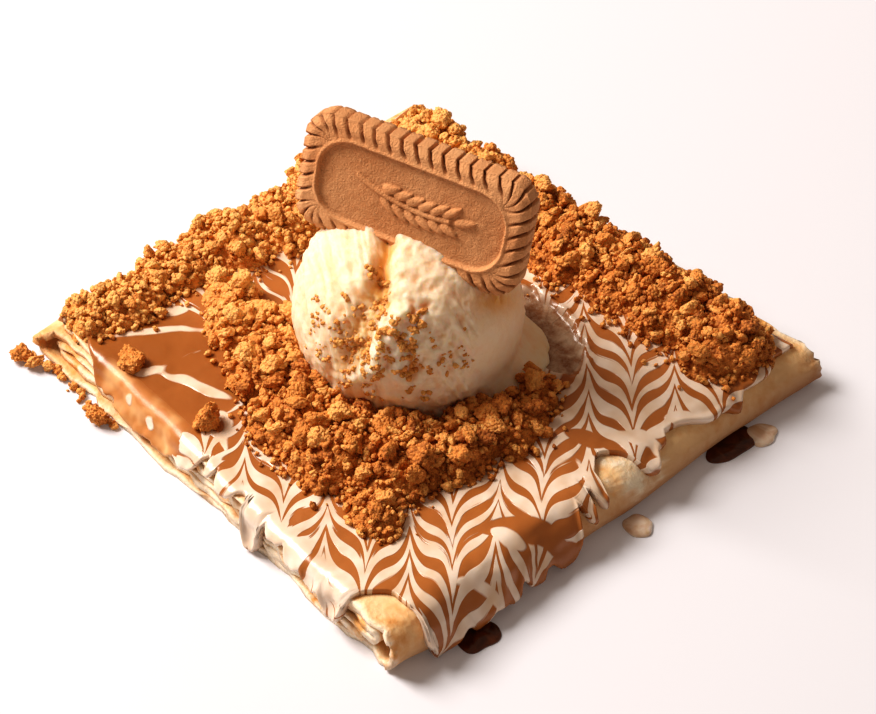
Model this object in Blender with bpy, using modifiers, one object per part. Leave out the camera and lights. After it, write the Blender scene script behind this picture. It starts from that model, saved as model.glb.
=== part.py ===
"""A folded crepe dessert: a thin sheet folded into a flat parcel, a poured sauce coat with drips,
heaps of crushed biscuit, a scoop of ice cream, and a whole biscuit that stands in the scoop.

Metres, +Z up. The origin is the middle of the parcel's flat underside. The two closed folds run
along Y, at -X and +X, and the cut ends of the layers show at -Y and +Y.
"""

import math
import random

import bmesh
import bpy
from mathutils import Matrix, Vector, noise

MM = 0.001

# Driving dimensions
CREPE_HALF_X = 70.5 * MM
CREPE_HALF_Y = 67.6 * MM
SHEET = 2.1 * MM
LAYER_GAP = 0.4 * MM
SAUCE_THICK = 1.3 * MM
SEAT_GAP = 0.45 * MM
SCOOP_RADIUS = 28.5 * MM
SCOOP_CENTRE = Vector((3.0 * MM, -5.3 * MM, 28.0 * MM))
SCOOP_TALL = 0.95
BISCUIT_LENGTH = 60.5 * MM
BISCUIT_WIDTH = 31.3 * MM
BISCUIT_THICK = 7.2 * MM

# The stack of five layers, before it settles
PITCH = SHEET + LAYER_GAP
STRAIGHT_STEPS = 7
LEVELS = [SHEET / 2 + k * PITCH for k in range(5)]
STACK_TOP = LEVELS[4] + SHEET / 2
OUTER_FOLD = (LEVELS[4] - LEVELS[0]) / 2
INNER_FOLD = PITCH / 2
RIGHT_FOLD_X = CREPE_HALF_X - OUTER_FOLD - SHEET / 2
LEFT_FOLD = (LEVELS[3] - LEVELS[0]) / 2
LEFT_FOLD_X = -(CREPE_HALF_X - LEFT_FOLD - SHEET / 2)
COAT_BOTTOM = STACK_TOP + SEAT_GAP
COAT_TOP = COAT_BOTTOM + SAUCE_THICK

COLOURS = {
    "crepe": ("E9C88B", 0.62),
    "sauce": ("B4672F", 0.18),
    "cream_drip": ("E9DAC4", 0.22),
    "ice_cream": ("F7E9CC", 0.45),
    "biscuit": ("B07546", 0.85),
    "crumbs": ("C67A34", 0.9),
    "puddle": ("5A2A12", 0.12),
}


def linear(value):
    """One sRGB channel, 0 to 1, as linear light."""
    return value / 12.92 if value <= 0.04045 else ((value + 0.055) / 1.055) ** 2.4


def material(name):
    """The part's own Principled material of that name."""
    if name in bpy.data.materials:
        return bpy.data.materials[name]
    colour, roughness = COLOURS[name]
    made = bpy.data.materials.new(name)
    made.use_nodes = True
    shader = made.node_tree.nodes["Principled BSDF"]
    channels = [linear(int(colour[k : k + 2], 16) / 255) for k in (0, 2, 4)]
    shader.inputs["Base Color"].default_value = (*channels, 1)
    shader.inputs["Roughness"].default_value = roughness
    shader.inputs["Metallic"].default_value = 0
    return made


def smooth(low, high, value):
    """0 below low, 1 above high, and an even ease between."""
    t = min(1, max(0, (value - low) / (high - low)))
    return t * t * (3 - 2 * t)


def bump(distance, width):
    """A rounded bump, 1 at no distance."""
    return math.exp(-((distance / width) ** 2))


def clear_scene():
    for obj in list(bpy.data.objects):
        bpy.data.objects.remove(obj)


def add_object(name, work, kind, collection):
    """Makes the object of a finished bmesh."""
    mesh = bpy.data.meshes.new(name)
    work.to_mesh(mesh)
    work.free()
    mesh.shade_smooth()
    mesh.set_sharp_from_angle(angle=math.radians(40))
    mesh.materials.append(material(kind))
    obj = bpy.data.objects.new(name, mesh)
    collection.objects.link(obj)
    return obj


def apply_modifier(obj, kind, **settings):
    """Adds one modifier to an object and applies it."""
    modifier = obj.modifiers.new(kind.lower(), kind)
    for key, value in settings.items():
        setattr(modifier, key, value)
    bpy.context.view_layer.update()
    graph = bpy.context.evaluated_depsgraph_get()
    finished = bpy.data.meshes.new_from_object(obj.evaluated_get(graph))
    obj.modifiers.clear()
    obj.data = finished


def keep_largest(obj):
    """Drops loose scraps and sealed hollows: only the body with the largest volume stays."""
    work = bmesh.new()
    work.from_mesh(obj.data)
    bmesh.ops.remove_doubles(work, verts=work.verts, dist=0.002 * MM)
    unseen = set(work.faces)
    shells = []
    while unseen:
        first = unseen.pop()
        shell, edge_of = [first], [first]
        while edge_of:
            face = edge_of.pop()
            for edge in face.edges:
                for other in edge.link_faces:
                    if other in unseen:
                        unseen.remove(other)
                        shell.append(other)
                        edge_of.append(other)
        volume = 0.0
        for face in shell:
            corners = [v.co for v in face.verts]
            for k in range(1, len(corners) - 1):
                volume += corners[0].dot(corners[k].cross(corners[k + 1])) / 6
        shells.append((volume, shell))
    shells.sort(key=lambda pair: -pair[0])
    scraps = [face for _, shell in shells[1:] for face in shell]
    bmesh.ops.delete(work, geom=scraps, context="FACES")
    work.to_mesh(obj.data)
    work.free()


# How the parcel settles: its height, its slanting ends and its flared corner

def stack_scale(x, y):
    """The stack is thinner on the left, and puffs up at the front corner."""
    scale = 0.78 + 0.24 * smooth(-70 * MM, 35 * MM, x)
    scale += 0.16 * bump(x - 70 * MM, 20 * MM) * bump(y + 70 * MM, 22 * MM)
    scale -= 0.10 * bump(x - 72 * MM, 22 * MM) * bump(y - 68 * MM, 22 * MM)
    return scale + 0.02 * math.sin(x / (17 * MM) + 1.0) * math.sin(y / (21 * MM))


def settle(point):
    """Moves a point of the even stack to where it lies in the settled parcel."""
    x, y, z = point
    high = z * stack_scale(x, y)
    lean = y * 0.03 * (0.5 - x / (2 * CREPE_HALF_X))
    flare = 2.6 * MM * smooth(25 * MM, 75 * MM, y) * smooth(35 * MM, 80 * MM, x)
    wave = 0.6 * MM * math.sin(y / (13 * MM) + 0.6)
    across = y * (1 + 0.065 * x / CREPE_HALF_X) + flare - 1.7 * MM
    return Vector((x + lean + flare + wave, across, high))


def coat_height(x, y):
    """Height of the sauce's upper face, near enough for what rests on it."""
    return COAT_TOP * stack_scale(x, y)


# The crepe: one sheet, folded over itself

def fold_arc(centre_x, centre_z, radius, start, end, steps):
    """Points of a fold, without its two ends. Angles are measured from +X towards +Z."""
    angles = [start + (end - start) * k / steps for k in range(1, steps)]
    return [(centre_x + radius * math.cos(a), centre_z + radius * math.sin(a)) for a in angles]


def run(x_from, x_to, z):
    """Points along one flat layer, both ends included, closer together towards +X."""
    shares = [k / STRAIGHT_STEPS for k in range(STRAIGHT_STEPS + 1)]
    places = [x_from + (x_to - x_from) * share for share in shares]
    return [(x + 4 * MM * math.sin(math.pi * (x - x_from) / (x_to - x_from)), z) for x in places]


def sheet_profile():
    """The centre line of the folded sheet, seen from -Y: each point is x, z and its layer."""
    half_turn = math.pi / 2
    inner_right = RIGHT_FOLD_X - 2.5 * MM
    inner_left = LEFT_FOLD_X + 3.4 * MM
    layers = [
        run(LEFT_FOLD_X + 2 * MM, RIGHT_FOLD_X, LEVELS[4])
        + fold_arc(RIGHT_FOLD_X, (LEVELS[4] + LEVELS[0]) / 2, OUTER_FOLD, half_turn, -half_turn, 8),
        run(RIGHT_FOLD_X, LEFT_FOLD_X, LEVELS[0])
        + fold_arc(LEFT_FOLD_X, (LEVELS[3] + LEVELS[0]) / 2, LEFT_FOLD, -half_turn, -3 * half_turn, 7),
        run(LEFT_FOLD_X, inner_right, LEVELS[3])
        + fold_arc(inner_right, (LEVELS[3] + LEVELS[2]) / 2, INNER_FOLD, half_turn, -half_turn, 4),
        run(inner_right, inner_left, LEVELS[2])
        + fold_arc(inner_left, (LEVELS[2] + LEVELS[1]) / 2, INNER_FOLD, half_turn, 3 * half_turn, 4),
        run(inner_left, RIGHT_FOLD_X - 6 * MM, LEVELS[1]),
    ]
    return [(x, z, layer) for layer, points in enumerate(layers) for x, z in points]


def layer_end(x, layer, side):
    """How far one layer's cut end lies from the middle, on the -Y side (-1) or the +Y side (1)."""
    ragged = 0.9 * MM * noise.noise(Vector((x / (13 * MM), 7.3 * layer, 3.1 * side)))
    step_out = (-2.6, 0.4, -1.8, -1.2, -0.6)[layer] * MM * smooth(30 * MM, -45 * MM, x)
    return CREPE_HALF_Y - 1.4 * MM + step_out + ragged


def build_crepe(parts):
    profile = sheet_profile()
    rows = 8
    work = bmesh.new()
    grid = []
    for x, z, layer in profile:
        front = -layer_end(x, layer, -1)
        back = layer_end(x, layer, 1)
        shares = [(1 - math.cos(math.pi * k / rows)) / 4 + k / (2 * rows) for k in range(rows + 1)]
        grid.append([work.verts.new((x, front + (back - front) * share, z)) for share in shares])
    for here, there in zip(grid, grid[1:]):
        for k in range(rows):
            work.faces.new((here[k], there[k], there[k + 1], here[k + 1]))
    crepe = add_object("crepe", work, "crepe", parts)
    apply_modifier(crepe, "SOLIDIFY", thickness=SHEET, offset=0, use_even_offset=False)
    for vertex in crepe.data.vertices:
        vertex.co = settle(vertex.co)
    face_out(crepe)
    return crepe


def face_out(obj):
    work = bmesh.new()
    work.from_mesh(obj.data)
    bmesh.ops.recalc_face_normals(work, faces=work.faces)
    work.to_mesh(obj.data)
    work.free()


# The sauce coat: poured over the top, and over the fold at +X

def coat_reach(y):
    """How far the sauce runs over the +X fold at a place along it, measured along the coat."""
    full = OUTER_FOLD + SHEET / 2
    reach = 0.30 * full
    reach += 1.75 * full * smooth(-64 * MM, -57 * MM, y) * smooth(-1 * MM, -9 * MM, y)
    reach += 0.24 * full * math.sin(y / (2.6 * MM)) * smooth(-60 * MM, -52 * MM, y) * smooth(-2 * MM, -9 * MM, y)
    reach += 1.5 * full * bump(y - 41 * MM, 5 * MM) + 0.7 * full * bump(y - 16 * MM, 2.5 * MM)
    reach += 0.8 * full * bump(y - 3 * MM, 2.2 * MM)
    return reach


def coat_edge(x, side):
    """How far the coat reaches towards a cut end: side -1 is the front, 1 the back."""
    wave = 0.9 * MM * math.sin(x / (5.5 * MM) + 2 * side)
    bare_corner = 5.5 * MM * smooth(46 * MM, 62 * MM, x) if side < 0 else 0
    return CREPE_HALF_Y - 3.4 * MM - 3.2 * MM * smooth(0, -60 * MM, x) - bare_corner + wave


def drape(along, y, lift):
    """A point of the coat before it settles. Past the fold line it follows the fold round."""
    radius = OUTER_FOLD + SHEET / 2
    if along <= RIGHT_FOLD_X:
        return Vector((along, y, STACK_TOP + lift))
    angle = (along - RIGHT_FOLD_X) / radius
    return Vector(
        (
            RIGHT_FOLD_X + (radius + lift) * math.sin(angle),
            y,
            radius + (radius + lift) * math.cos(angle),
        )
    )


def coat_surface(work, columns=17, fold_columns=6, rows=20):
    """The coat's open underside over the even stack. Past the fold line it keeps only what the sauce reaches."""
    step = 2.1 * (OUTER_FOLD + SHEET / 2) / fold_columns
    grid = []
    for row in range(rows + 1):
        share = row / rows
        points = []
        for column in range(columns + fold_columns + 1):
            along = -67 * MM + (RIGHT_FOLD_X + 67 * MM) * column / columns
            if column > columns:
                along = RIGHT_FOLD_X + step * (column - columns)
            front, back = -coat_edge(along, -1), coat_edge(along, 1)
            points.append(work.verts.new(drape(along, front + (back - front) * share, SEAT_GAP)))
        grid.append(points)
    for row in range(rows):
        middle = (grid[row][columns].co.y + grid[row + 1][columns].co.y) / 2
        for column in range(columns + fold_columns):
            if column > columns and (column - columns + 0.5) * step > coat_reach(middle):
                break
            work.faces.new(
                (grid[row][column], grid[row][column + 1], grid[row + 1][column + 1], grid[row + 1][column])
            )
    loose = [vertex for vertex in work.verts if not vertex.link_faces]
    bmesh.ops.delete(work, geom=loose, context="VERTS")


def closed_sheet(work, upper, lower):
    """Joins an upper and a lower grid of points into one closed shell."""
    top = [[work.verts.new(p) for p in row] for row in upper]
    bottom = [[work.verts.new(p) for p in row] for row in lower]
    rows, columns = len(top) - 1, len(top[0]) - 1
    for r in range(rows):
        for c in range(columns):
            work.faces.new((top[r][c], top[r][c + 1], top[r + 1][c + 1], top[r + 1][c]))
            work.faces.new((bottom[r][c], bottom[r + 1][c], bottom[r + 1][c + 1], bottom[r][c + 1]))
    border = [(0, c) for c in range(columns)] + [(r, columns) for r in range(rows)]
    border += [(rows, c) for c in range(columns, 0, -1)] + [(r, 0) for r in range(rows, 0, -1)]
    for (r, c), (r2, c2) in zip(border, border[1:] + border[:1]):
        work.faces.new((top[r][c], bottom[r][c], bottom[r2][c2], top[r2][c2]))
    bmesh.ops.recalc_face_normals(work, faces=work.faces)


# Drips over the front end: place along X, how low the tip hangs, and its width
FRONT_DRIPS = ((-5 * MM, 5.5 * MM, 2.2 * MM), (17 * MM, 3.5 * MM, 2.4 * MM), (50 * MM, 3.2 * MM, 2.3 * MM))


def front_drip(place, tip, width):
    """A tongue of sauce that starts on the coat, turns over the front end and ends in a drop."""
    top = coat_height(place, -CREPE_HALF_Y)
    start = settle(Vector((place, -CREPE_HALF_Y + 6 * MM, 0)))
    clear = layer_end(place, 1, -1) + 0.9 * MM + width / 2
    front = settle(Vector((place, -clear, 0))).y
    route = [
        (start.y, top - 0.5 * MM, 0.7),
        (start.y - 4.2 * MM, top + 0.1 * MM, 0.9),
        (front + 0.9 * MM, top - 0.3 * MM, 1.0),
        (front, top - 2.2 * MM, 1.0),
        (front - 0.2 * MM, (top + tip) / 2, 0.9),
        (front - 0.2 * MM, tip + width * 0.6, 1.25),
    ]
    curve = bpy.data.curves.new("drip", "CURVE")
    curve.dimensions = "3D"
    curve.bevel_depth = width / 2
    curve.bevel_resolution = 1
    curve.use_fill_caps = True
    line = curve.splines.new("POLY")
    line.points.add(len(route) - 1)
    for point, (y, z, thick) in zip(line.points, route):
        point.co = (start.x, y, z, 1)
        point.radius = thick
    holder = bpy.data.objects.new("drip", curve)
    bpy.context.scene.collection.objects.link(holder)
    bpy.context.view_layer.update()
    mesh = bpy.data.meshes.new_from_object(holder.evaluated_get(bpy.context.evaluated_depsgraph_get()))
    bpy.data.objects.remove(holder)
    work = bmesh.new()
    work.from_mesh(mesh)
    bmesh.ops.remove_doubles(work, verts=work.verts, dist=0.01 * MM)
    bmesh.ops.recalc_face_normals(work, faces=work.faces)
    return work


def join_collection(obj, collection):
    """Fuses every object of a collection onto obj, applies that, and removes them."""
    apply_modifier(
        obj, "BOOLEAN", operation="UNION", operand_type="COLLECTION", collection=collection, solver="MANIFOLD"
    )
    for piece in list(collection.objects):
        bpy.data.objects.remove(piece)
    bpy.data.collections.remove(collection)


def build_sauce(parts):
    work = bmesh.new()
    coat_surface(work)
    sauce = add_object("sauce_coat", work, "sauce", parts)
    apply_modifier(sauce, "SOLIDIFY", thickness=SAUCE_THICK, offset=1)
    for vertex in sauce.data.vertices:
        vertex.co = settle(vertex.co)
    face_out(sauce)
    drips = bpy.data.collections.new("drips")
    bpy.context.scene.collection.children.link(drips)
    for place, tip, width in FRONT_DRIPS:
        add_object("drip", front_drip(place, tip, width), "sauce", drips)
    join_collection(sauce, drips)
    keep_largest(sauce)
    return sauce


def seat_cutter(helpers):
    """All the space that the parcel and its sauce fill, with the seat gap: what lies on it is cut by this."""
    work = bmesh.new()
    upper, lower = [], []
    columns, rows = 15, 15
    for row in range(rows + 1):
        y = (2 * row / rows - 1) * (CREPE_HALF_Y + 1.8 * MM)
        line = [
            Vector(((2 * column / columns - 1) * (CREPE_HALF_X + 0.9 * MM), y, 0)) for column in range(columns + 1)
        ]
        upper.append([settle(Vector((p.x, p.y, COAT_TOP + SEAT_GAP))) for p in line])
        lower.append([settle(Vector((p.x, p.y, -30 * MM))) for p in line])
    closed_sheet(work, upper, lower)
    return add_object("seat_cutter", work, "sauce", helpers)


# The scoop of ice cream

# The biscuit's front face: its middle, and the directions along its length, up its width and out
BISCUIT_CENTRE = Vector((3.5 * MM, -4.8 * MM, 63.3 * MM))
BISCUIT_ALONG = Vector((0.940, 0.340, -0.03)).normalized()
BISCUIT_OUT = Vector((0.330, -0.890, 0.300)).normalized()
BISCUIT_UP = BISCUIT_OUT.cross(BISCUIT_ALONG).normalized()


def biscuit_place():
    """The matrix that stands a biscuit, modelled flat and face up, in the scoop."""
    along = BISCUIT_UP.cross(BISCUIT_OUT).normalized()
    turn = Matrix((along, BISCUIT_UP, BISCUIT_OUT)).transposed()
    return Matrix.Translation(BISCUIT_CENTRE) @ turn.to_4x4()


def melt(angle, low):
    """Share by which the scoop's foot has melted outwards, at an angle round it and a depth from 0 to 1."""
    spread = 0.10 + 0.05 * math.sin(3 * angle + 0.4) + 0.04 * math.sin(7 * angle)
    tongue = 0.34 * bump(math.remainder(angle - math.radians(42), math.tau), 0.42)
    return (spread + tongue) * low**3


def shape_scoop(direction, grow):
    """Where a point of a unit ball lies on the scoop."""
    flat = Vector((direction.x, direction.y))
    angle = math.atan2(direction.y, direction.x)
    seat = (COAT_TOP * 0.985 + SEAT_GAP - SCOOP_CENTRE.z) / SCOOP_RADIUS
    z = direction.z * (SCOOP_TALL if direction.z > 0 else 1)
    low = smooth(-0.12, seat, z)
    side = flat * (1 + melt(angle, low))
    # A cleft runs down the front from the biscuit, between the two lobes
    towards = Vector((0.56, -0.83))
    offset = flat.dot(Vector((-towards.y, towards.x))) + 0.15 + 0.08 * direction.z
    cleft = 0.13 * bump(offset, 0.12) * smooth(0.05, 0.85, direction.z) * smooth(-0.1, 0.25, flat.dot(towards))
    left_lobe = 0.06 * math.exp(-8 * (direction - Vector((-0.60, -0.40, 0.69))).length_squared)
    lumps = left_lobe + 0.022 * noise.noise(direction * 2.3 + Vector((4, 1, 7)))
    size = SCOOP_RADIUS * (1 - cleft + lumps) + grow
    return SCOOP_CENTRE + Vector((side.x * size, side.y * size, max(z, seat - 0.05) * size))


def scoop_body(name, subdivisions, grow, collection):
    work = bmesh.new()
    bmesh.ops.create_icosphere(work, subdivisions=subdivisions, radius=1)
    for vertex in work.verts:
        vertex.co = shape_scoop(vertex.co.normalized(), grow)
    return add_object(name, work, "ice_cream", collection)


def cut(obj, cutter):
    apply_modifier(obj, "BOOLEAN", operation="DIFFERENCE", object=cutter, solver="MANIFOLD")
    keep_largest(obj)


def build_scoop(parts, helpers, seat):
    scoop = scoop_body("ice_cream_scoop", 4, 0, parts)
    cut(scoop, seat)
    pocket = build_biscuit_blank("pocket", helpers, 0.35 * MM)
    cut(scoop, pocket)
    return scoop


# The biscuit: a flat bar with a scalloped rim and a sunk panel

SCALLOPS = 46


def rounded_bar(length, width, corner, share):
    """A point on a rounded rectangle's outline, and its outward direction, at a share of the way round."""
    straight_x, straight_y = length - 2 * corner, width - 2 * corner
    arc = math.pi / 2 * corner
    walk = share * (2 * straight_x + 2 * straight_y + 4 * arc)
    sides = ((straight_x, 0), (straight_y, 1), (straight_x, 2), (straight_y, 3))
    centres = ((1, -1), (1, 1), (-1, 1), (-1, -1))
    for (straight, quarter), (sx, sy) in zip(sides, centres):
        heading = quarter * math.pi / 2
        ahead = Vector((math.cos(heading), math.sin(heading)))
        out = Vector((ahead.y, -ahead.x))
        pivot = Vector((sx * straight_x / 2, sy * straight_y / 2))
        if walk <= straight:
            return pivot + out * corner - ahead * (straight - walk), out
        walk -= straight
        if walk <= arc:
            turn = heading - math.pi / 2 + walk / corner
            out = Vector((math.cos(turn), math.sin(turn)))
            return pivot + out * corner, out
        walk -= arc
    return Vector((0, 0)), Vector((1, 0))


def biscuit_loop(inset, scallop, z, count):
    """One closed loop of points round the biscuit, in its own flat frame."""
    points = []
    for k in range(count):
        share = k / count
        spot, out = rounded_bar(BISCUIT_LENGTH - 2 * inset, BISCUIT_WIDTH - 2 * inset, 7 * MM - inset * 0.7, share)
        ripple = scallop * (abs(math.sin(math.pi * SCALLOPS * share)) - 0.6)
        points.append(Vector((*(spot + out * ripple), z)))
    return points


def build_biscuit(parts):
    """Loops from the underside's middle, up the scalloped edge, over the rim and down to the panel."""
    count = SCALLOPS * 2
    loops = [
        biscuit_loop(1.6 * MM, 0.3 * MM, -BISCUIT_THICK, count),
        biscuit_loop(0.2 * MM, 1.3 * MM, -BISCUIT_THICK + 1.4 * MM, count),
        biscuit_loop(0.5 * MM, 1.3 * MM, -1.2 * MM, count),
        biscuit_loop(2.0 * MM, 0.5 * MM, -0.1 * MM, count),
        biscuit_loop(4.6 * MM, 0, 0, count),
        biscuit_loop(5.3 * MM, 0, -0.9 * MM, count),
    ]
    work = bmesh.new()
    rings = [[work.verts.new(p) for p in loop] for loop in loops]
    work.faces.new(list(reversed(rings[0])))
    work.faces.new(rings[-1])
    for lower, upper in zip(rings, rings[1:]):
        for k in range(count):
            n = (k + 1) % count
            work.faces.new((lower[k], lower[n], upper[n], upper[k]))
    bmesh.ops.transform(work, matrix=biscuit_place(), verts=work.verts)
    bmesh.ops.recalc_face_normals(work, faces=work.faces)
    return add_object("biscuit", work, "biscuit", parts)


def build_biscuit_blank(name, collection, gap):
    """A plain bar a little larger than the biscuit, which clears its pocket in the ice cream."""
    outline = bpy.data.curves.new(name, "CURVE")
    outline.dimensions = "2D"
    outline.fill_mode = "BOTH"
    outline.extrude = BISCUIT_THICK / 2 + gap
    line = outline.splines.new("POLY")
    count = 32
    line.points.add(count - 1)
    for k, point in enumerate(line.points):
        spot, out = rounded_bar(BISCUIT_LENGTH, BISCUIT_WIDTH, 7 * MM, k / count)
        place = spot + out * (gap + 0.7 * MM)
        point.co = (place.x, place.y, 0, 1)
    line.use_cyclic_u = True
    holder = bpy.data.objects.new(name, outline)
    bpy.context.scene.collection.objects.link(holder)
    bpy.context.view_layer.update()
    mesh = bpy.data.meshes.new_from_object(holder.evaluated_get(bpy.context.evaluated_depsgraph_get()))
    bpy.data.objects.remove(holder)
    work = bmesh.new()
    work.from_mesh(mesh)
    bmesh.ops.remove_doubles(work, verts=work.verts, dist=0.01 * MM)
    lower = Matrix.Translation((0, 0, -BISCUIT_THICK / 2))
    bmesh.ops.transform(work, matrix=biscuit_place() @ lower, verts=work.verts)
    bmesh.ops.recalc_face_normals(work, faces=work.faces)
    return add_object(name, work, "biscuit", collection)


# Crushed biscuit: heaps with the larger crumbs fused on, and single crumbs

# Each mound of a heap: x, y, half length along X, half length along Y, height over the sauce
FRONT_HEAP = (
    (-41 * MM, -26 * MM, 8 * MM, 7 * MM, 5 * MM),
    (-30 * MM, -31 * MM, 10 * MM, 9 * MM, 7 * MM),
    (-13 * MM, -35 * MM, 13 * MM, 12 * MM, 9.5 * MM),
    (3 * MM, -40 * MM, 14 * MM, 14 * MM, 10 * MM),
    (18 * MM, -41 * MM, 13 * MM, 15 * MM, 10 * MM),
    (31 * MM, -34 * MM, 13 * MM, 15 * MM, 9 * MM),
    (38 * MM, -21 * MM, 10 * MM, 13 * MM, 8 * MM),
    (40 * MM, -6 * MM, 9 * MM, 11 * MM, 6.5 * MM),
    (36 * MM, 7 * MM, 7 * MM, 6 * MM, 5 * MM),
    (40 * MM, -50 * MM, 8 * MM, 6 * MM, 4.5 * MM),
)
LEFT_HEAP = (
    (-62 * MM, -56 * MM, 8 * MM, 5 * MM, 5 * MM),
    (-59 * MM, -45 * MM, 9 * MM, 9 * MM, 6 * MM),
    (-60 * MM, -29 * MM, 9 * MM, 10 * MM, 5.5 * MM),
    (-58 * MM, -12 * MM, 12 * MM, 10 * MM, 6.5 * MM),
    (-53 * MM, 5 * MM, 13 * MM, 11 * MM, 7 * MM),
    (-55 * MM, 22 * MM, 13 * MM, 11 * MM, 7.5 * MM),
    (-56 * MM, 37 * MM, 10 * MM, 9 * MM, 6.5 * MM),
)
BACK_HEAP = (
    (-50 * MM, 53 * MM, 12 * MM, 8 * MM, 7 * MM),
    (-31 * MM, 50 * MM, 13 * MM, 11 * MM, 8 * MM),
    (-11 * MM, 50 * MM, 14 * MM, 12 * MM, 8.5 * MM),
    (7 * MM, 49 * MM, 13 * MM, 14 * MM, 9 * MM),
    (24 * MM, 52 * MM, 14 * MM, 13 * MM, 9 * MM),
    (40 * MM, 53 * MM, 12 * MM, 14 * MM, 9 * MM),
    (56 * MM, 53 * MM, 12 * MM, 13 * MM, 8.5 * MM),
)


def mound(spot, collection):
    """One low rounded mound of a heap's core, sunk a little into the sauce before it is cut to it."""
    x, y, half_x, half_y, height = spot
    work = bmesh.new()
    bmesh.ops.create_icosphere(work, subdivisions=2, radius=1)
    base = coat_height(x, y)
    for vertex in work.verts:
        rough = 1 + 0.16 * noise.noise(vertex.co * 1.9 + Vector((x, y, 0)) * 100)
        vertex.co = Vector(
            (x + vertex.co.x * half_x * rough, y + vertex.co.y * half_y * rough, base + vertex.co.z * height * rough)
        )
    return add_object("mound", work, "crumbs", collection)


def crumb(centre, size, draw, collection, name="crumb", subdivisions=1):
    """A broken angular lump of biscuit."""
    work = bmesh.new()
    bmesh.ops.create_icosphere(work, subdivisions=subdivisions, radius=1)
    shift = Vector((draw.uniform(0, 50), draw.uniform(0, 50), draw.uniform(0, 50)))
    turn = Matrix.Rotation(draw.uniform(0, math.tau), 3, "Z") @ Matrix.Rotation(draw.uniform(-1.2, 1.2), 3, "X")
    stretch = Vector((draw.uniform(0.85, 1.3), draw.uniform(0.75, 1.0), draw.uniform(0.65, 0.9)))
    for vertex in work.verts:
        lump = vertex.co * (1 + 0.38 * noise.noise(vertex.co * 1.4 + shift))
        vertex.co = centre + turn @ Vector((lump.x * stretch.x, lump.y * stretch.y, lump.z * stretch.z)) * size
    return add_object(name, work, "crumbs", collection)


def build_heap(name, mounds, count, seed, parts, cutters):
    """A core of mounds with count crumbs fused on, spaced out over it, cut to what it lies on and against."""
    draw = random.Random(seed)
    pile = bpy.data.collections.new(name + "_pile")
    bpy.context.scene.collection.children.link(pile)
    core = mound(mounds[0], parts)
    core.name = name
    for spot in mounds[1:]:
        mound(spot, pile)
    weights = [half_x * half_y for _, _, half_x, half_y, _ in mounds]
    placed = []
    for k in range(count * 14):
        if len(placed) == count:
            break
        x, y, half_x, half_y, height = draw.choices(mounds, weights)[0]
        size = (3.9 - 1.5 * len(placed) / count) * MM
        turn, out = draw.uniform(0, math.tau), math.sqrt(draw.uniform(0, 1))
        spot = Vector((x + math.cos(turn) * out * half_x, y + math.sin(turn) * out * half_y, 0))
        rise = max(0.0, 1 - out * out) ** 0.5 * height
        spot.z = coat_height(spot.x, spot.y) + max(rise, size * 0.35)
        if any((spot - other).length < 0.95 * (size + near) for other, near in placed):
            continue
        if (spot - SCOOP_CENTRE).length < SCOOP_RADIUS * 1.04 + size:
            continue
        if not inside_parcel(spot, size * 0.4):
            continue
        placed.append((spot, size))
        crumb(spot, size, draw, pile)
    join_collection(core, pile)
    keep_largest(core)
    for cutter in cutters:
        cut(core, cutter)
    return core


def inside_parcel(spot, margin):
    """Whether a place in plan is over the parcel, by a margin from its outline."""
    low = settle(Vector((-CREPE_HALF_X, spot.y, 0))).x
    high = settle(Vector((CREPE_HALF_X, spot.y, 0))).x
    front = settle(Vector((spot.x, -CREPE_HALF_Y, 0))).y
    back = settle(Vector((spot.x, CREPE_HALF_Y, 0))).y
    return low + margin < spot.x < high - margin and front + margin < spot.y < back - margin


# Large single crumbs: name, x, y, half size, and whether it lies on the floor
SINGLE_CRUMBS = (
    ("crumb_on_sauce_left", -41 * MM, -57.0 * MM, 4.0 * MM, False),
    ("crumb_on_sauce_front", -12.5 * MM, -58.5 * MM, 4.3 * MM, False),
    ("crumb_at_corner", -70.5 * MM, -71.5 * MM, 4.0 * MM, True),
    ("crumb_at_foot", -40.5 * MM, -72.0 * MM, 2.8 * MM, True),
)


def build_single_crumbs(parts, seat):
    draw = random.Random(11)
    made = []
    for name, x, y, size, on_floor in SINGLE_CRUMBS:
        rise = size * 0.62 if on_floor else coat_height(x, y) + size * 0.5
        lump = crumb(Vector((x, y, rise)), size, draw, parts, name, 2)
        for vertex in lump.data.vertices:
            vertex.co.z = max(vertex.co.z, 0.0)
        if not on_floor:
            cut(lump, seat)
        made.append(lump)
    return made


# Sauce that has run to the floor beside the +X fold: name, x, y, half width, half length, height, material
POOLS = (
    ("caramel_puddle_front", 76.0 * MM, -49.5 * MM, 4.0 * MM, 7.8 * MM, 1.3 * MM, "puddle"),
    ("caramel_puddle_back", 77.0 * MM, 44 * MM, 4.2 * MM, 9 * MM, 1.3 * MM, "puddle"),
    ("cream_drop", 78.0 * MM, 5 * MM, 2.6 * MM, 3.8 * MM, 1.6 * MM, "cream_drip"),
)


def build_pools(parts):
    """Flat-bottomed rounded pools."""
    for name, x, y, half_x, half_y, height, kind in POOLS:
        work = bmesh.new()
        bmesh.ops.create_uvsphere(work, u_segments=12, v_segments=6, radius=1)
        for vertex in work.verts:
            angle = math.atan2(vertex.co.y, vertex.co.x)
            uneven = 1 + 0.12 * math.sin(3 * angle + 60 * y / MM)
            flat = vertex.co.z if vertex.co.z > 0 else 0
            vertex.co = Vector((x + vertex.co.x * half_x * uneven, y + vertex.co.y * half_y * uneven, flat * height))
        bmesh.ops.recalc_face_normals(work, faces=work.faces)
        add_object(name, work, kind, parts)


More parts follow.
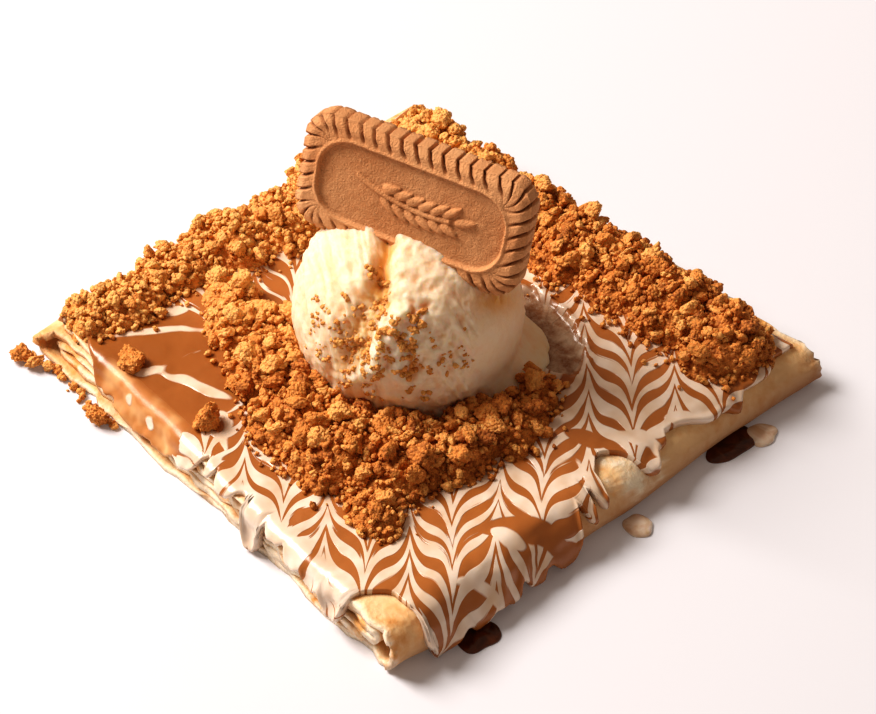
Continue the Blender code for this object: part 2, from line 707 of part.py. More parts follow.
def main():
    clear_scene()
    parts = bpy.data.collections.new("folded_crepe")
    helpers = bpy.data.collections.new("cutters")
    bpy.context.scene.collection.children.link(parts)
    bpy.context.scene.collection.children.link(helpers)
    build_crepe(parts)
    build_sauce(parts)
    seat = seat_cutter(helpers)
    build_scoop(parts, helpers, seat)
    build_biscuit(parts)
    scoop_space = scoop_body("scoop_space", 4, 0.5 * MM, helpers)
    build_heap("crumb_heap_front", FRONT_HEAP, 28, 3, parts, (seat, scoop_space))
    build_heap("crumb_heap_left", LEFT_HEAP, 18, 5, parts, (seat,))
    build_heap("crumb_heap_back", BACK_HEAP, 28, 8, parts, (seat, bpy.data.objects["crumb_heap_left"]))
    build_single_crumbs(parts, seat)
    build_pools(parts)
    for helper in helpers.objects:
        helper.hide_render = True
        helper.display_type = "WIRE"


main()
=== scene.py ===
"""A folded crepe with feathered caramel sauce, crushed biscuit, a scoop of ice cream and a biscuit.

Metres, +Z up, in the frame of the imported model: the parcel's two closed folds run along Y, and the
cut ends of its layers face -Y and +Y. The photograph looks at the corner between +X and -Y.
"""

import math
import random

import bmesh
import bpy
import numpy as np
from mathutils import Matrix, Vector, noise
from mathutils.bvhtree import BVHTree


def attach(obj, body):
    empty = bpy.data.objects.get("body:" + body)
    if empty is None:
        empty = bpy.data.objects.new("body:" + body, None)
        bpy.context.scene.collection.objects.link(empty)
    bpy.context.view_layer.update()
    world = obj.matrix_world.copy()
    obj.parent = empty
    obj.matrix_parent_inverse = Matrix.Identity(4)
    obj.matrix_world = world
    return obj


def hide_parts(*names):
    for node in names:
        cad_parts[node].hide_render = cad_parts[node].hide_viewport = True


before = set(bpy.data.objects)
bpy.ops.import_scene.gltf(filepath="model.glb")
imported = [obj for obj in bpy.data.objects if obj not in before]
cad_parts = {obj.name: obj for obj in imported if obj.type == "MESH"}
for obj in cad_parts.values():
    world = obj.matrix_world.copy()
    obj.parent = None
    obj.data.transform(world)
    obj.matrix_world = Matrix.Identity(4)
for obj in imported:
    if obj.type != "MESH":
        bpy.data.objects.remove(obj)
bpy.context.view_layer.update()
MM = 0.001


# The crepe
# One thin round of milk and egg batter, fried in butter on a flat griddle and folded over itself
# into a parcel of five layers. It is soft, so the stack settles, puffs at one corner and its
# ends are ragged. Two sides are round folds, and the other two show the ends of the layers.

HALF_X = 70.5 * MM
HALF_Y = 67.6 * MM
SHEET = 2.1 * MM
PITCH = SHEET + 0.4 * MM
LEVELS = [SHEET / 2 + k * PITCH for k in range(5)]
STACK_TOP = LEVELS[4] + SHEET / 2
OUTER_FOLD = (LEVELS[4] - LEVELS[0]) / 2
INNER_FOLD = PITCH / 2
FOLD_RADIUS = OUTER_FOLD + SHEET / 2
RIGHT_FOLD_X = HALF_X - FOLD_RADIUS
LEFT_FOLD = (LEVELS[3] - LEVELS[0]) / 2
LEFT_FOLD_X = -(HALF_X - LEFT_FOLD - SHEET / 2)

# The sheet is drawn a little thinner than in the solid, so that gaps show between its layers
SHEET_DRAWN = 1.95 * MM
CREPE_ROWS = 92
FRAY = 1.1 * MM

# How far each layer's end steps out at the left corner, in millimetres, in the order the sheet runs
END_STEPS = (-2.6, 2.2, -1.6, -0.8, 0.2)

# A spot on the +X fold where the sauce ran off and left froth on the batter
FROTH_SPOT = (69 * MM, 8.5 * MM, 12 * MM)

CREPE_PALE = "F2CE9E"
CREPE_GOLD = "E0A260"
CREPE_BROWN = "BC7838"
CREPE_INSIDE = "FFEED8"
CREPE_SOAKED = "E2A45A"
# Browner griddle side at +X, which also carries painted shade towards the foot of the fold
CREPE_BAKED_AND_SHADE = "9E6C4C"
CREPE_FROTH = "F0E0C6"

# How far apart the marks of each kind lie
GRIDDLE_MARKS = 16 * MM
BATTER_LACE = 3.5 * MM
BATTER_PORES = 1.6 * MM
SOAKED_BLOTS = 6 * MM


def ease(low, high, value):
    """0 at low and 1 at high, easing between, for arrays or numbers."""
    t = np.clip((np.asarray(value, float) - low) / (high - low), 0, 1)
    return t * t * (3 - 2 * t)


def bump(distance, width):
    """A rounded bump, 1 at no distance."""
    return np.exp(-((distance / width) ** 2))


def grain(points, size, octaves=3, seed=0.0):
    """Smooth noise from about -1 to 1 at each point, with its largest lumps about size across."""
    shift = Vector((seed * 7.13, seed * 3.71, seed * 1.97))
    scaled = np.asarray(points) / size
    return np.array([noise.fractal(Vector(p) + shift, 1.0, 2.0, octaves) for p in scaled])


def stack_scale(x, y):
    """How high the settled stack stands, as a share of the even stack."""
    scale = 0.78 + 0.24 * ease(-70 * MM, 35 * MM, x)
    scale = scale + 0.16 * bump(x - 70 * MM, 20 * MM) * bump(y + 70 * MM, 22 * MM)
    scale = scale - 0.10 * bump(x - 72 * MM, 22 * MM) * bump(y - 68 * MM, 22 * MM)
    return scale + 0.02 * np.sin(x / (17 * MM) + 1.0) * np.sin(y / (21 * MM))


def settle(points):
    """Moves points of the even stack to where they lie in the settled parcel."""
    x, y, z = np.asarray(points, float).T
    lean = y * 0.03 * (0.5 - x / (2 * HALF_X))
    flare = 2.6 * MM * ease(25 * MM, 75 * MM, y) * ease(35 * MM, 80 * MM, x)
    wave = 0.6 * MM * np.sin(y / (13 * MM) + 0.6)
    across = y * (1 + 0.065 * x / HALF_X) + flare - 1.7 * MM
    # The soft fold at +X spreads where it meets the table
    low = ease(STACK_TOP, 0, z)
    spread = 2.9 * MM * ease(52 * MM, 68 * MM, x) * low * ease(-66 * MM, -48 * MM, y)
    return np.stack([x + lean + flare + wave + spread, across, z * stack_scale(x, y)], -1)


def arc(centre_x, centre_z, radius, start, end, steps):
    """Points round a fold, without its two ends. Angles are measured from +X towards +Z."""
    angles = np.linspace(start, end, steps + 1)[1:-1]
    return [(centre_x + radius * math.cos(a), centre_z + radius * math.sin(a)) for a in angles]


def flat_run(x_from, x_to, z, steps=34):
    """Points along one flat layer."""
    return [(x, z) for x in np.linspace(x_from, x_to, steps + 1)]


def sheet_path():
    """Centre line of the folded sheet seen from -Y, as rows of x, z and layer, starting on top."""
    quarter = math.pi / 2
    inner_right = RIGHT_FOLD_X - 2.5 * MM
    inner_left = LEFT_FOLD_X + 3.4 * MM
    layers = [
        flat_run(LEFT_FOLD_X + 2 * MM, RIGHT_FOLD_X, LEVELS[4])
        + arc(RIGHT_FOLD_X, (LEVELS[4] + LEVELS[0]) / 2, OUTER_FOLD, quarter, -quarter, 26),
        flat_run(RIGHT_FOLD_X, LEFT_FOLD_X, LEVELS[0])
        + arc(LEFT_FOLD_X, (LEVELS[3] + LEVELS[0]) / 2, LEFT_FOLD, -quarter, -3 * quarter, 20),
        flat_run(LEFT_FOLD_X, inner_right, LEVELS[3])
        + arc(inner_right, (LEVELS[3] + LEVELS[2]) / 2, INNER_FOLD, quarter, -quarter, 8),
        flat_run(inner_right, inner_left, LEVELS[2])
        + arc(inner_left, (LEVELS[2] + LEVELS[1]) / 2, INNER_FOLD, quarter, 3 * quarter, 8),
        flat_run(inner_left, RIGHT_FOLD_X - 6 * MM, LEVELS[1]),
    ]
    return np.array([(x, z, layer) for layer, points in enumerate(layers) for x, z in points])


def layer_end(x, layer, side):
    """How far one layer's end lies from the middle, on the -Y side (-1) or the +Y side (1)."""
    ragged = 0.9 * MM * noise.noise(Vector((x / (13 * MM), 7.3 * layer, 3.1 * side)))
    step_out = END_STEPS[layer] * MM * float(ease(30 * MM, -45 * MM, x))
    return HALF_Y - 1.4 * MM + step_out + ragged


def select_only(obj):
    bpy.ops.object.select_all(action="DESELECT")
    obj.select_set(True)
    bpy.context.view_layer.objects.active = obj


def add_primitive(name, add, **sizes):
    """Adds one of the mesh primitives, with nothing else selected."""
    bpy.ops.object.select_all(action="DESELECT")
    add(**sizes)
    obj = bpy.context.object
    obj.name = name
    obj.data.name = name
    return obj


def add_grid(name, columns, rows):
    """A flat grid, with each vertex's place across and along it from 0 to 1."""
    grid = bpy.ops.mesh.primitive_grid_add
    obj = add_primitive(name, grid, x_subdivisions=columns, y_subdivisions=rows, size=2)
    places = vertex_places(obj)
    return obj, (places[:, 0] + 1) / 2, (places[:, 1] + 1) / 2


def vertex_places(obj):
    places = np.empty(len(obj.data.vertices) * 3)
    obj.data.vertices.foreach_get("co", places)
    return places.reshape(-1, 3)


def set_places(obj, places):
    obj.data.vertices.foreach_set("co", np.asarray(places, float).ravel())
    obj.data.update()


def set_values(obj, name, values):
    """Stores one number a vertex under a name that a material can read."""
    layer = obj.data.attributes.get(name) or obj.data.attributes.new(name, "FLOAT", "POINT")
    layer.data.foreach_set("value", np.asarray(values, float))


def get_values(obj, name):
    values = np.empty(len(obj.data.vertices))
    obj.data.attributes[name].data.foreach_get("value", values)
    return values


def apply_modifier(obj, kind, **settings):
    select_only(obj)
    modifier = obj.modifiers.new(kind.lower(), kind)
    for key, value in settings.items():
        setattr(modifier, key, value)
    bpy.ops.object.modifier_apply(modifier=modifier.name)


def edit_all(obj):
    """Opens a piece in edit mode with all of it selected."""
    select_only(obj)
    bpy.ops.object.mode_set(mode="EDIT")
    bpy.ops.mesh.select_all(action="SELECT")


def face_out(obj):
    """Merges doubles and turns every face outwards."""
    edit_all(obj)
    bpy.ops.mesh.remove_doubles(threshold=0.01 * MM)
    bpy.ops.mesh.normals_make_consistent(inside=False)
    bpy.ops.object.mode_set(mode="OBJECT")


def finish_piece(obj, material, nodes):
    """Shades a piece smooth, gives it its material, and puts it in place of the solids it stands for."""
    select_only(obj)
    bpy.ops.object.shade_smooth()
    obj.data.materials.clear()
    obj.data.materials.append(material)
    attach(obj, "root")
    if nodes:
        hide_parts(*nodes)


def colour(hex_code):
    """An sRGB hex colour as linear light, with alpha 1."""
    channels = [int(hex_code[k : k + 2], 16) / 255 for k in (0, 2, 4)]
    linear = [c / 12.92 if c <= 0.04045 else ((c + 0.055) / 1.055) ** 2.4 for c in channels]
    return (*linear, 1.0)


def new_material(name, **sockets):
    """A Principled material, with its constant values set on the shader's own sockets."""
    made = bpy.data.materials.new(name)
    made.use_nodes = True
    shader = made.node_tree.nodes["Principled BSDF"]
    connect(made.node_tree, shader, {key.replace("_", " "): value for key, value in sockets.items()})
    return made, made.node_tree, shader


def connect(tree, node, inputs):
    """Sets a node's sockets to values, or links them to other sockets or to the first output of nodes."""
    for key, value in inputs.items():
        if isinstance(value, bpy.types.Node):
            value = next(output for output in value.outputs if output.enabled)
        if isinstance(value, bpy.types.NodeSocket):
            tree.links.new(value, node.inputs[key])
        else:
            node.inputs[key].default_value = value


def add_node(tree, kind, inputs=(), **settings):
    """Adds a shader node with its settings and its values and links."""
    made = tree.nodes.new("ShaderNode" + kind)
    for key, value in settings.items():
        setattr(made, key, value)
    connect(tree, made, dict(inputs))
    return made


def build_crepe():
    """The sheet as a grid: its columns follow the folded path, and its rows run from end to end."""
    path = sheet_path()
    obj, u, v = add_grid("folded_sheet", len(path) - 1, CREPE_ROWS)
    column = u * (len(path) - 1)
    index = np.arange(len(path))
    x = np.interp(column, index, path[:, 0])
    z = np.interp(column, index, path[:, 1])
    steps = [(px, int(layer)) for px, _, layer in path]
    frayed = [noise.fractal(Vector((px / (4 * MM), 5.7 * k, 0)), 1, 2, 3) for px, k in steps]
    fray = FRAY * np.array(frayed)
    front, back = (
        np.interp(column, index, side * np.array([layer_end(*step, side) for step in steps]) + fray)
        for side in (-1, 1)
    )
    # The rows lie closer together towards the ends
    share = v - 0.6 * np.sin(2 * math.pi * v) / (2 * math.pi)
    y = front + (back - front) * share
    set_places(obj, np.stack([x, y, z], -1))
    set_values(obj, "from_end", np.minimum(y - front, back - y) / MM)
    apply_modifier(obj, "SOLIDIFY", thickness=SHEET_DRAWN, offset=0)
    flat = vertex_places(obj)
    # The layers sag and wave, most near their ends, but the underside stays flat on the table
    near_end = np.exp(-np.maximum(get_values(obj, "from_end"), 0) / 4)
    stretched = flat * (1, 1, 3.5)
    places = settle(flat)
    sag = grain(stretched, 11 * MM, 2, 1) * 0.25 * MM
    sag = sag + near_end * grain(stretched, 7 * MM, 3, 2) * 1.1 * MM
    places[:, 2] += sag * ease(0, 4 * MM, flat[:, 2])
    places[:, 0] += grain(stretched, 16 * MM, 2, 3) * 0.35 * MM
    places[:, 1] += near_end * grain(stretched, 2.6 * MM, 4, 4) * 0.9 * MM
    places[:, 2] = np.maximum(places[:, 2], 0)
    set_places(obj, places)
    from_froth = np.linalg.norm(places - FROTH_SPOT, axis=1) + grain(places, 3 * MM, 4, 9) * 5 * MM
    set_values(obj, "froth", ease(9 * MM, 5 * MM, from_froth))
    face_out(obj)
    return obj


def crepe_material():
    """Fried batter: pale where the sheet lifted off the griddle, with golden lace and a dry skin."""
    made, tree, shader = new_material(
        "fried_crepe_batter",
        Roughness=0.55,
        Specular_IOR_Level=0.35,
        Subsurface_Weight=0.2,
        Subsurface_Scale=3 * MM,
        Subsurface_Radius=(1.0, 0.75, 0.55),
    )
    place = add_node(tree, "TexCoord").outputs["Object"]
    way = add_node(tree, "SeparateXYZ", {0: place})
    # Browned where the batter touched the griddle, in patches broken up by lace
    patch = add_node(
        tree, "TexNoise", {"Vector": place, "Scale": 1 / GRIDDLE_MARKS, "Detail": 5, "Roughness": 0.62}
    )
    lace = add_node(tree, "TexNoise", {"Vector": place, "Scale": 1 / BATTER_LACE, "Detail": 3})
    both = add_node(tree, "Math", {0: patch, 1: lace}, operation="MULTIPLY")
    gold = add_node(tree, "MapRange", {"Value": both, "From Min": 0.20, "From Max": 0.42})
    brown = add_node(tree, "MapRange", {"Value": both, "From Min": 0.36, "From Max": 0.62})
    # The ends show the pale inside of the batter
    end = add_node(tree, "Attribute", attribute_name="from_end").outputs["Fac"]
    inside = add_node(tree, "MapRange", {"Value": end, "From Max": 1.6, "To Min": 0.75, "To Max": 0})
    # Caramel has soaked into the ends in places, and most at the left corner
    blots = add_node(tree, "TexNoise", {"Vector": place, "Scale": 1 / SOAKED_BLOTS, "Detail": 5})
    soaked = add_node(tree, "MapRange", {"Value": blots, "From Min": 0.52, "From Max": 0.66, "To Max": 0.9})
    corner = add_node(
        tree,
        "MapRange",
        {"Value": way.outputs["X"], "From Min": -52 * MM, "From Max": -70 * MM, "To Max": 0.8},
    )
    near = add_node(tree, "MapRange", {"Value": end, "From Min": 6, "From Max": 1})
    stains = [add_node(tree, "Math", {0: part, 1: near}, operation="MULTIPLY") for part in (soaked, corner)]
    amber = add_node(tree, "Math", {0: stains[0], 1: stains[1]}, operation="MAXIMUM")
    # The griddle side, which shows round the fold at +X, is baked browner, and it is darkened towards its
    # foot with painted shade
    out = add_node(tree, "MapRange", {"Value": way.outputs["X"], "From Min": 66 * MM, "From Max": 74 * MM})
    down = add_node(tree, "MapRange", {"Value": way.outputs["Z"], "From Min": 12 * MM, "From Max": 2 * MM})
    baked_and_foot_shade = add_node(tree, "Math", {0: out, 1: down}, operation="MULTIPLY")
    froth = add_node(tree, "Attribute", attribute_name="froth").outputs["Fac"]
    foam = add_node(tree, "MapRange", {"Value": lace, "From Min": 0.42, "From Max": 0.58, "To Min": 0.25})
    milky = add_node(tree, "Math", {0: froth, 1: foam}, operation="MULTIPLY")
    skin = colour(CREPE_PALE)
    for share, over in (
        (gold, CREPE_GOLD),
        (brown, CREPE_BROWN),
        (inside, CREPE_INSIDE),
        (amber, CREPE_SOAKED),
        (baked_and_foot_shade, CREPE_BAKED_AND_SHADE),
        (milky, CREPE_FROTH),
    ):
        skin = add_node(tree, "Mix", {0: share, 6: skin, 7: colour(over)}, data_type="RGBA")
    # Small pits all over, and open pores where the ends are torn and in the froth
    bubbles = add_node(tree, "TexVoronoi", {"Vector": place, "Scale": 1 / BATTER_PORES})
    open_grain = add_node(tree, "Math", {0: near, 1: froth}, operation="MAXIMUM")
    pores = add_node(
        tree, "TexNoise", {"Vector": place, "Scale": 1 / BATTER_PORES, "Detail": 4, "Roughness": 0.65}
    )
    torn = add_node(tree, "Math", {0: pores, 1: open_grain}, operation="MULTIPLY")
    pits = add_node(tree, "Bump", {"Height": bubbles, "Strength": 0.35, "Distance": 0.4 * MM})
    soft = add_node(tree, "Bump", {"Height": lace, "Strength": 0.5, "Distance": 0.6 * MM, "Normal": pits})
    rough = add_node(tree, "Bump", {"Height": torn, "Strength": 0.6, "Distance": 0.9 * MM, "Normal": soft})
    connect(tree, shader, {"Base Color": skin, "Normal": rough})
    return made


finish_piece(build_crepe(), crepe_material(), ["crepe"])


# The sauce
# Warm caramel spread over the parcel, with lines of thin cream sauce piped across it and drawn
# through with a skewer, back and forth, while both were wet. It sets to a glossy skin about a
# millimetre thick, runs over the fold at +X and over the front ends, and gathers in beads.

SAUCE_THICK = 1.3 * MM
SEAT = 0.45 * MM
COAT_TOP = STACK_TOP + SEAT + SAUCE_THICK
COAT_DRAWN = 0.9 * MM
COAT_COLUMNS = 200
COAT_ROWS = 190
COAT_LENGTH_X = 140 * MM
COAT_LENGTH_Y = 136 * MM
COAT_HALF_Y = 65 * MM
COAT_LEFT = -66.5 * MM
HELD_BACK = 6.5 * MM
LIP = 1.6 * MM
FOLD_SWING = math.radians(128)

# Where the scoop scraped the sauce: middle, half length and half width, and its turn in plan
SCRAPED_X, SCRAPED_Y = 21 * MM, 24.5 * MM
SCRAPED_LENGTH, SCRAPED_WIDTH = 17 * MM, 8 * MM
SCRAPED_TURN = math.radians(-14)

# The shares of the grid that make the run over the fold and the run over the front ends
SIDE_SHARE = 0.15
FRONT_SHARE = 0.11

# Drips in millimetres: the place along the edge, how much further it hangs, half its width
SIDE_DRIPS = (
    (-49, 3.6, 4.0),
    (-38, 3.2, 2.4),
    (-27.5, 2.6, 1.7),
    (-21, 3, 2.0),
    (-11, 2.6, 3),
    (-2.5, 7.5, 1.3),
    (1.8, 6.5, 1.4),
    (16.5, 6.5, 2.4),
    (21.5, 2.6, 2.0),
    (52, 3, 4.0),
)
FRONT_DRIPS = (
    (-46, 2.2, 2.0),
    (-39, -1.6, 1.6),
    (-30, 1.4, 2.2),
    (-23, -1.0, 1.4),
    (-9.5, 5.5, 4.0),
    (-1, 3.5, 1.3),
    (6, 3.0, 3.5),
    (17.5, 13.5, 2.6),
    (26, 3.5, 3),
    (34, 4.5, 3.2),
    (41, 6, 2.6),
    (49, 9.5, 3.4),
)

# The skewer was drawn towards the camera and away from it. In millimetres: how far apart its lines lie,
# where the first lies, how far and how wide it drags the sauce, and how far apart the cream was piped
DRAW_ACROSS = Vector((0.682, 0.731))
DRAW_AWAY = Vector((-0.731, 0.682))
DRAW_SPACING = 10.4
DRAW_FIRST = 8.5
DRAW_LENGTH = 10.5
DRAW_WIDTH = 1.75
PIPED_PITCH = 7.2

# The sauce's UV map holds unrolled places, in units of this many millimetres
FLOW_UNIT = 100

CARAMEL = "BF7C45"
CARAMEL_DEEP_AND_SHADE = "A0622F"
CARAMEL_THIN = "C28146"
CARAMEL_SHEER = "E2B27C"
CREAM_SAUCE = "F0DDCC"
CREAM_SHADE = "DABB9C"
# Caramel rubbed with melted ice cream, darkened with a painted shadow of the scoop
RUBBED_DARK_AND_SHADOW = "9A6B48"
RUBBED_PALE = "CDB297"

# How far apart the marks of each kind lie
SAUCE_SWELLS = 18 * MM
SAUCE_TINTS = 7 * MM
RUBBED_STREAKS = 3.5 * MM

# Strokes that stray from the even pattern, in millimetres over the unrolled sauce: points, half width
CREAM_STROKES = (
    (((-41, -61), (-36.6, -58.8), (-34.9, -55.3), (-33.5, -52.5)), 1.3),
    (((-33.3, -55.2), (-30.3, -54.0), (-27.1, -51.6), (-19.6, -49.7), (-13.4, -46.9)), 1.5),
    (((-34.5, -52.5), (-33.0, -45.5), (-31.2, -40.6)), 0.5),
    (((-52.9, -58.9), (-49.4, -53.0), (-45.7, -47.3), (-41.4, -40.8), (-35.6, -36.7), (-31, -38)), 1.1),
    (((-50.2, -43), (-47.9, -39.5), (-45.1, -34.6)), 1.6),
    (((-52, -26), (-47.3, -28.3), (-43.6, -28.1), (-38.0, -32.0), (-33.5, -35.5), (-29.8, -38.5)), 0.7),
    (((-14.9, -54.5), (-11.7, -52.0), (-8.1, -52.9), (-4.6, -57)), 1.1),
    (((-17, -57), (-10.7, -58.5), (-5.4, -57.5), (-0.4, -59.8)), 0.8),
    (((63.5, 25.5), (68.3, 29.8), (71.5, 33)), 2.4),
    (((58, 4), (63, 3.4), (67, 2.2), (76, 1.8)), 1.0),
    (((58, 1), (63, -0.8), (67, -2.2), (76, -2.5)), 1.0),
    (((56, 12), (60, 14), (64, 17.5), (68, 17.5), (73, 16.5)), 1.5),
    (((62.5, -28.5), (66.5, -27.0), (69.1, -24.9)), 2.2),
    (((66, -46.5), (67.8, -43.0), (69.4, -40.4), (72.0, -38.4), (74.8, -37.0), (78, -36.4)), 1.2),
    (((61, 15), (66, 17.5)), 2.6),
    (((-35, -64.5), (-32, -65.5)), 1.3),
    (((-26, -65), (-22.5, -66)), 1.3),
)
CARAMEL_STROKES = (
    (((60, -31), (66.3, -22), (70.2, -18), (76, -16)), 3.0),
    (((50, 5), (55, 7), (60, 8)), 2.4),
    (((74, -14), (84, -12)), 4.5),
)
# A place with no cream in it, which is also darkened with painted shade: its middle, half length along X
# and half length along Y
PLAIN_CARAMEL = (-36, -52, 25, 17)


def stroke_depth(strokes, points):
    """How far inside the nearest of these strokes each point lies, in millimetres, negative outside."""
    depth = np.full(len(points), -3.0)
    for line, half_width in strokes:
        line = np.array(line, float)
        lengths = np.hypot(*(line[1:] - line[:-1]).T)
        done = 0.0
        for start, end, length in zip(line[:-1], line[1:], lengths):
            way = (end - start) / length
            reach = np.clip((points - start) @ way, 0, length)
            away = np.hypot(*(points - start - reach[:, None] * way).T)
            share = (done + reach) / lengths.sum()
            depth = np.maximum(depth, half_width * (1 - 0.75 * np.abs(2 * share - 1) ** 3) - away)
            done += length
    return np.clip(depth, -3, 3)


def with_drips(reach, place, drips):
    """Adds to an edge's reach what its drips hang further. They have steep sides and rounded ends."""
    for middle, length, width in drips:
        reach = reach + length * MM * np.exp(-(((place - middle * MM) / (1.2 * (width * MM))) ** 4))
    return reach


def side_reach(y):
    """How far the sauce runs past the fold line at +X, at a place along it."""
    covered = ease(-63 * MM, -58 * MM, y) * ease(-3 * MM, -8 * MM, y)
    sway = 0.8 * np.sin(y / (2.9 * MM)) + 0.5 * np.sin(y / (1.6 * MM) + 2)
    reach = 1.5 * MM + (10.2 * MM + 0.9 * MM * sway) * covered
    reach = with_drips(reach, y, SIDE_DRIPS)
    reach = reach + 4.5 * MM * bump(y - 37 * MM, 6 * MM) + 5 * MM * bump(y - 44 * MM, 3 * MM)
    reach = reach - 5.5 * MM * bump(y - 9 * MM, 4.2 * MM)
    return np.clip(reach, -6 * MM, 15.2 * MM)


def front_reach(x):
    """How far the sauce runs past the front ends of the layers. Below 0 it stops short of them."""
    ragged = 0.7 * np.sin(x / (4.7 * MM) - 2) + 0.5 * np.sin(x / (2.3 * MM))
    reach = -1.2 * MM + ragged * MM + 8.6 * MM * ease(-58 * MM, -30 * MM, x) * ease(-12 * MM, -17 * MM, x)
    return with_drips(reach, x, FRONT_DRIPS) - 7 * MM * ease(52 * MM, 61 * MM, x)


def coat_surface(u, v, lift):
    """Places of the coat before it settles, and its unrolled place along X and along Y."""
    nominal = (2 * v - 1) * COAT_HALF_Y
    left = COAT_LEFT + 1.2 * MM * np.sin(nominal / (7 * MM))
    inner = np.clip(u / (1 - SIDE_SHARE), 0, 1)
    outer = np.clip((u - 1 + SIDE_SHARE) / SIDE_SHARE, 0, 1)
    along = left + (RIGHT_FOLD_X - HELD_BACK - left) * inner + (side_reach(nominal) + HELD_BACK) * outer

    samples = np.linspace(-HALF_X, HALF_X, 300)
    top_end = np.interp(along, samples, [layer_end(px, 0, -1) for px in samples])
    front_in = -(top_end - 7 * MM - 4 * MM * ease(46 * MM, 56 * MM, along))
    front_out = -(top_end + front_reach(along))
    back_out = HALF_Y - 4.5 * MM + 0.9 * MM * np.sin(along / (5.5 * MM) + 2)
    forward = np.clip((FRONT_SHARE - v) / FRONT_SHARE, 0, 1)
    backward = np.clip((v - FRONT_SHARE) / (1 - FRONT_SHARE), 0, 1)
    across = front_in + (front_out - front_in) * forward + (back_out - front_in) * backward

    # Over the front ends the coat turns down round a small lip, and follows the lower layers out
    past = np.maximum(0, -across - (top_end - LIP))
    turn = np.minimum(past / LIP, math.pi / 2)
    hang = past - turn * LIP
    drop = LIP * (1 - np.cos(turn)) + hang
    step_out = 3.0 * MM * ease(30 * MM, -45 * MM, along) * ease(0, 9 * MM, drop)
    y = np.where(past > 0, -(top_end - LIP) - LIP * np.sin(turn) - step_out, across)
    y = y - lift * np.sin(turn)

    # Over the fold at +X it follows the fold round, and then hangs straight down
    over = np.maximum(0, along - RIGHT_FOLD_X)
    swing = np.minimum(over / FOLD_RADIUS, FOLD_SWING)
    straight = over - swing * FOLD_RADIUS
    x = np.minimum(along, RIGHT_FOLD_X) + (FOLD_RADIUS + lift) * np.sin(swing)
    z = STACK_TOP - FOLD_RADIUS + (FOLD_RADIUS + lift * np.cos(turn)) * np.cos(swing) - drop - straight
    return np.stack([x, y, z], -1), along, across


def on_plane(x, y):
    """Points at these places and at height 0."""
    return np.stack([x, y, 0 * x], -1)


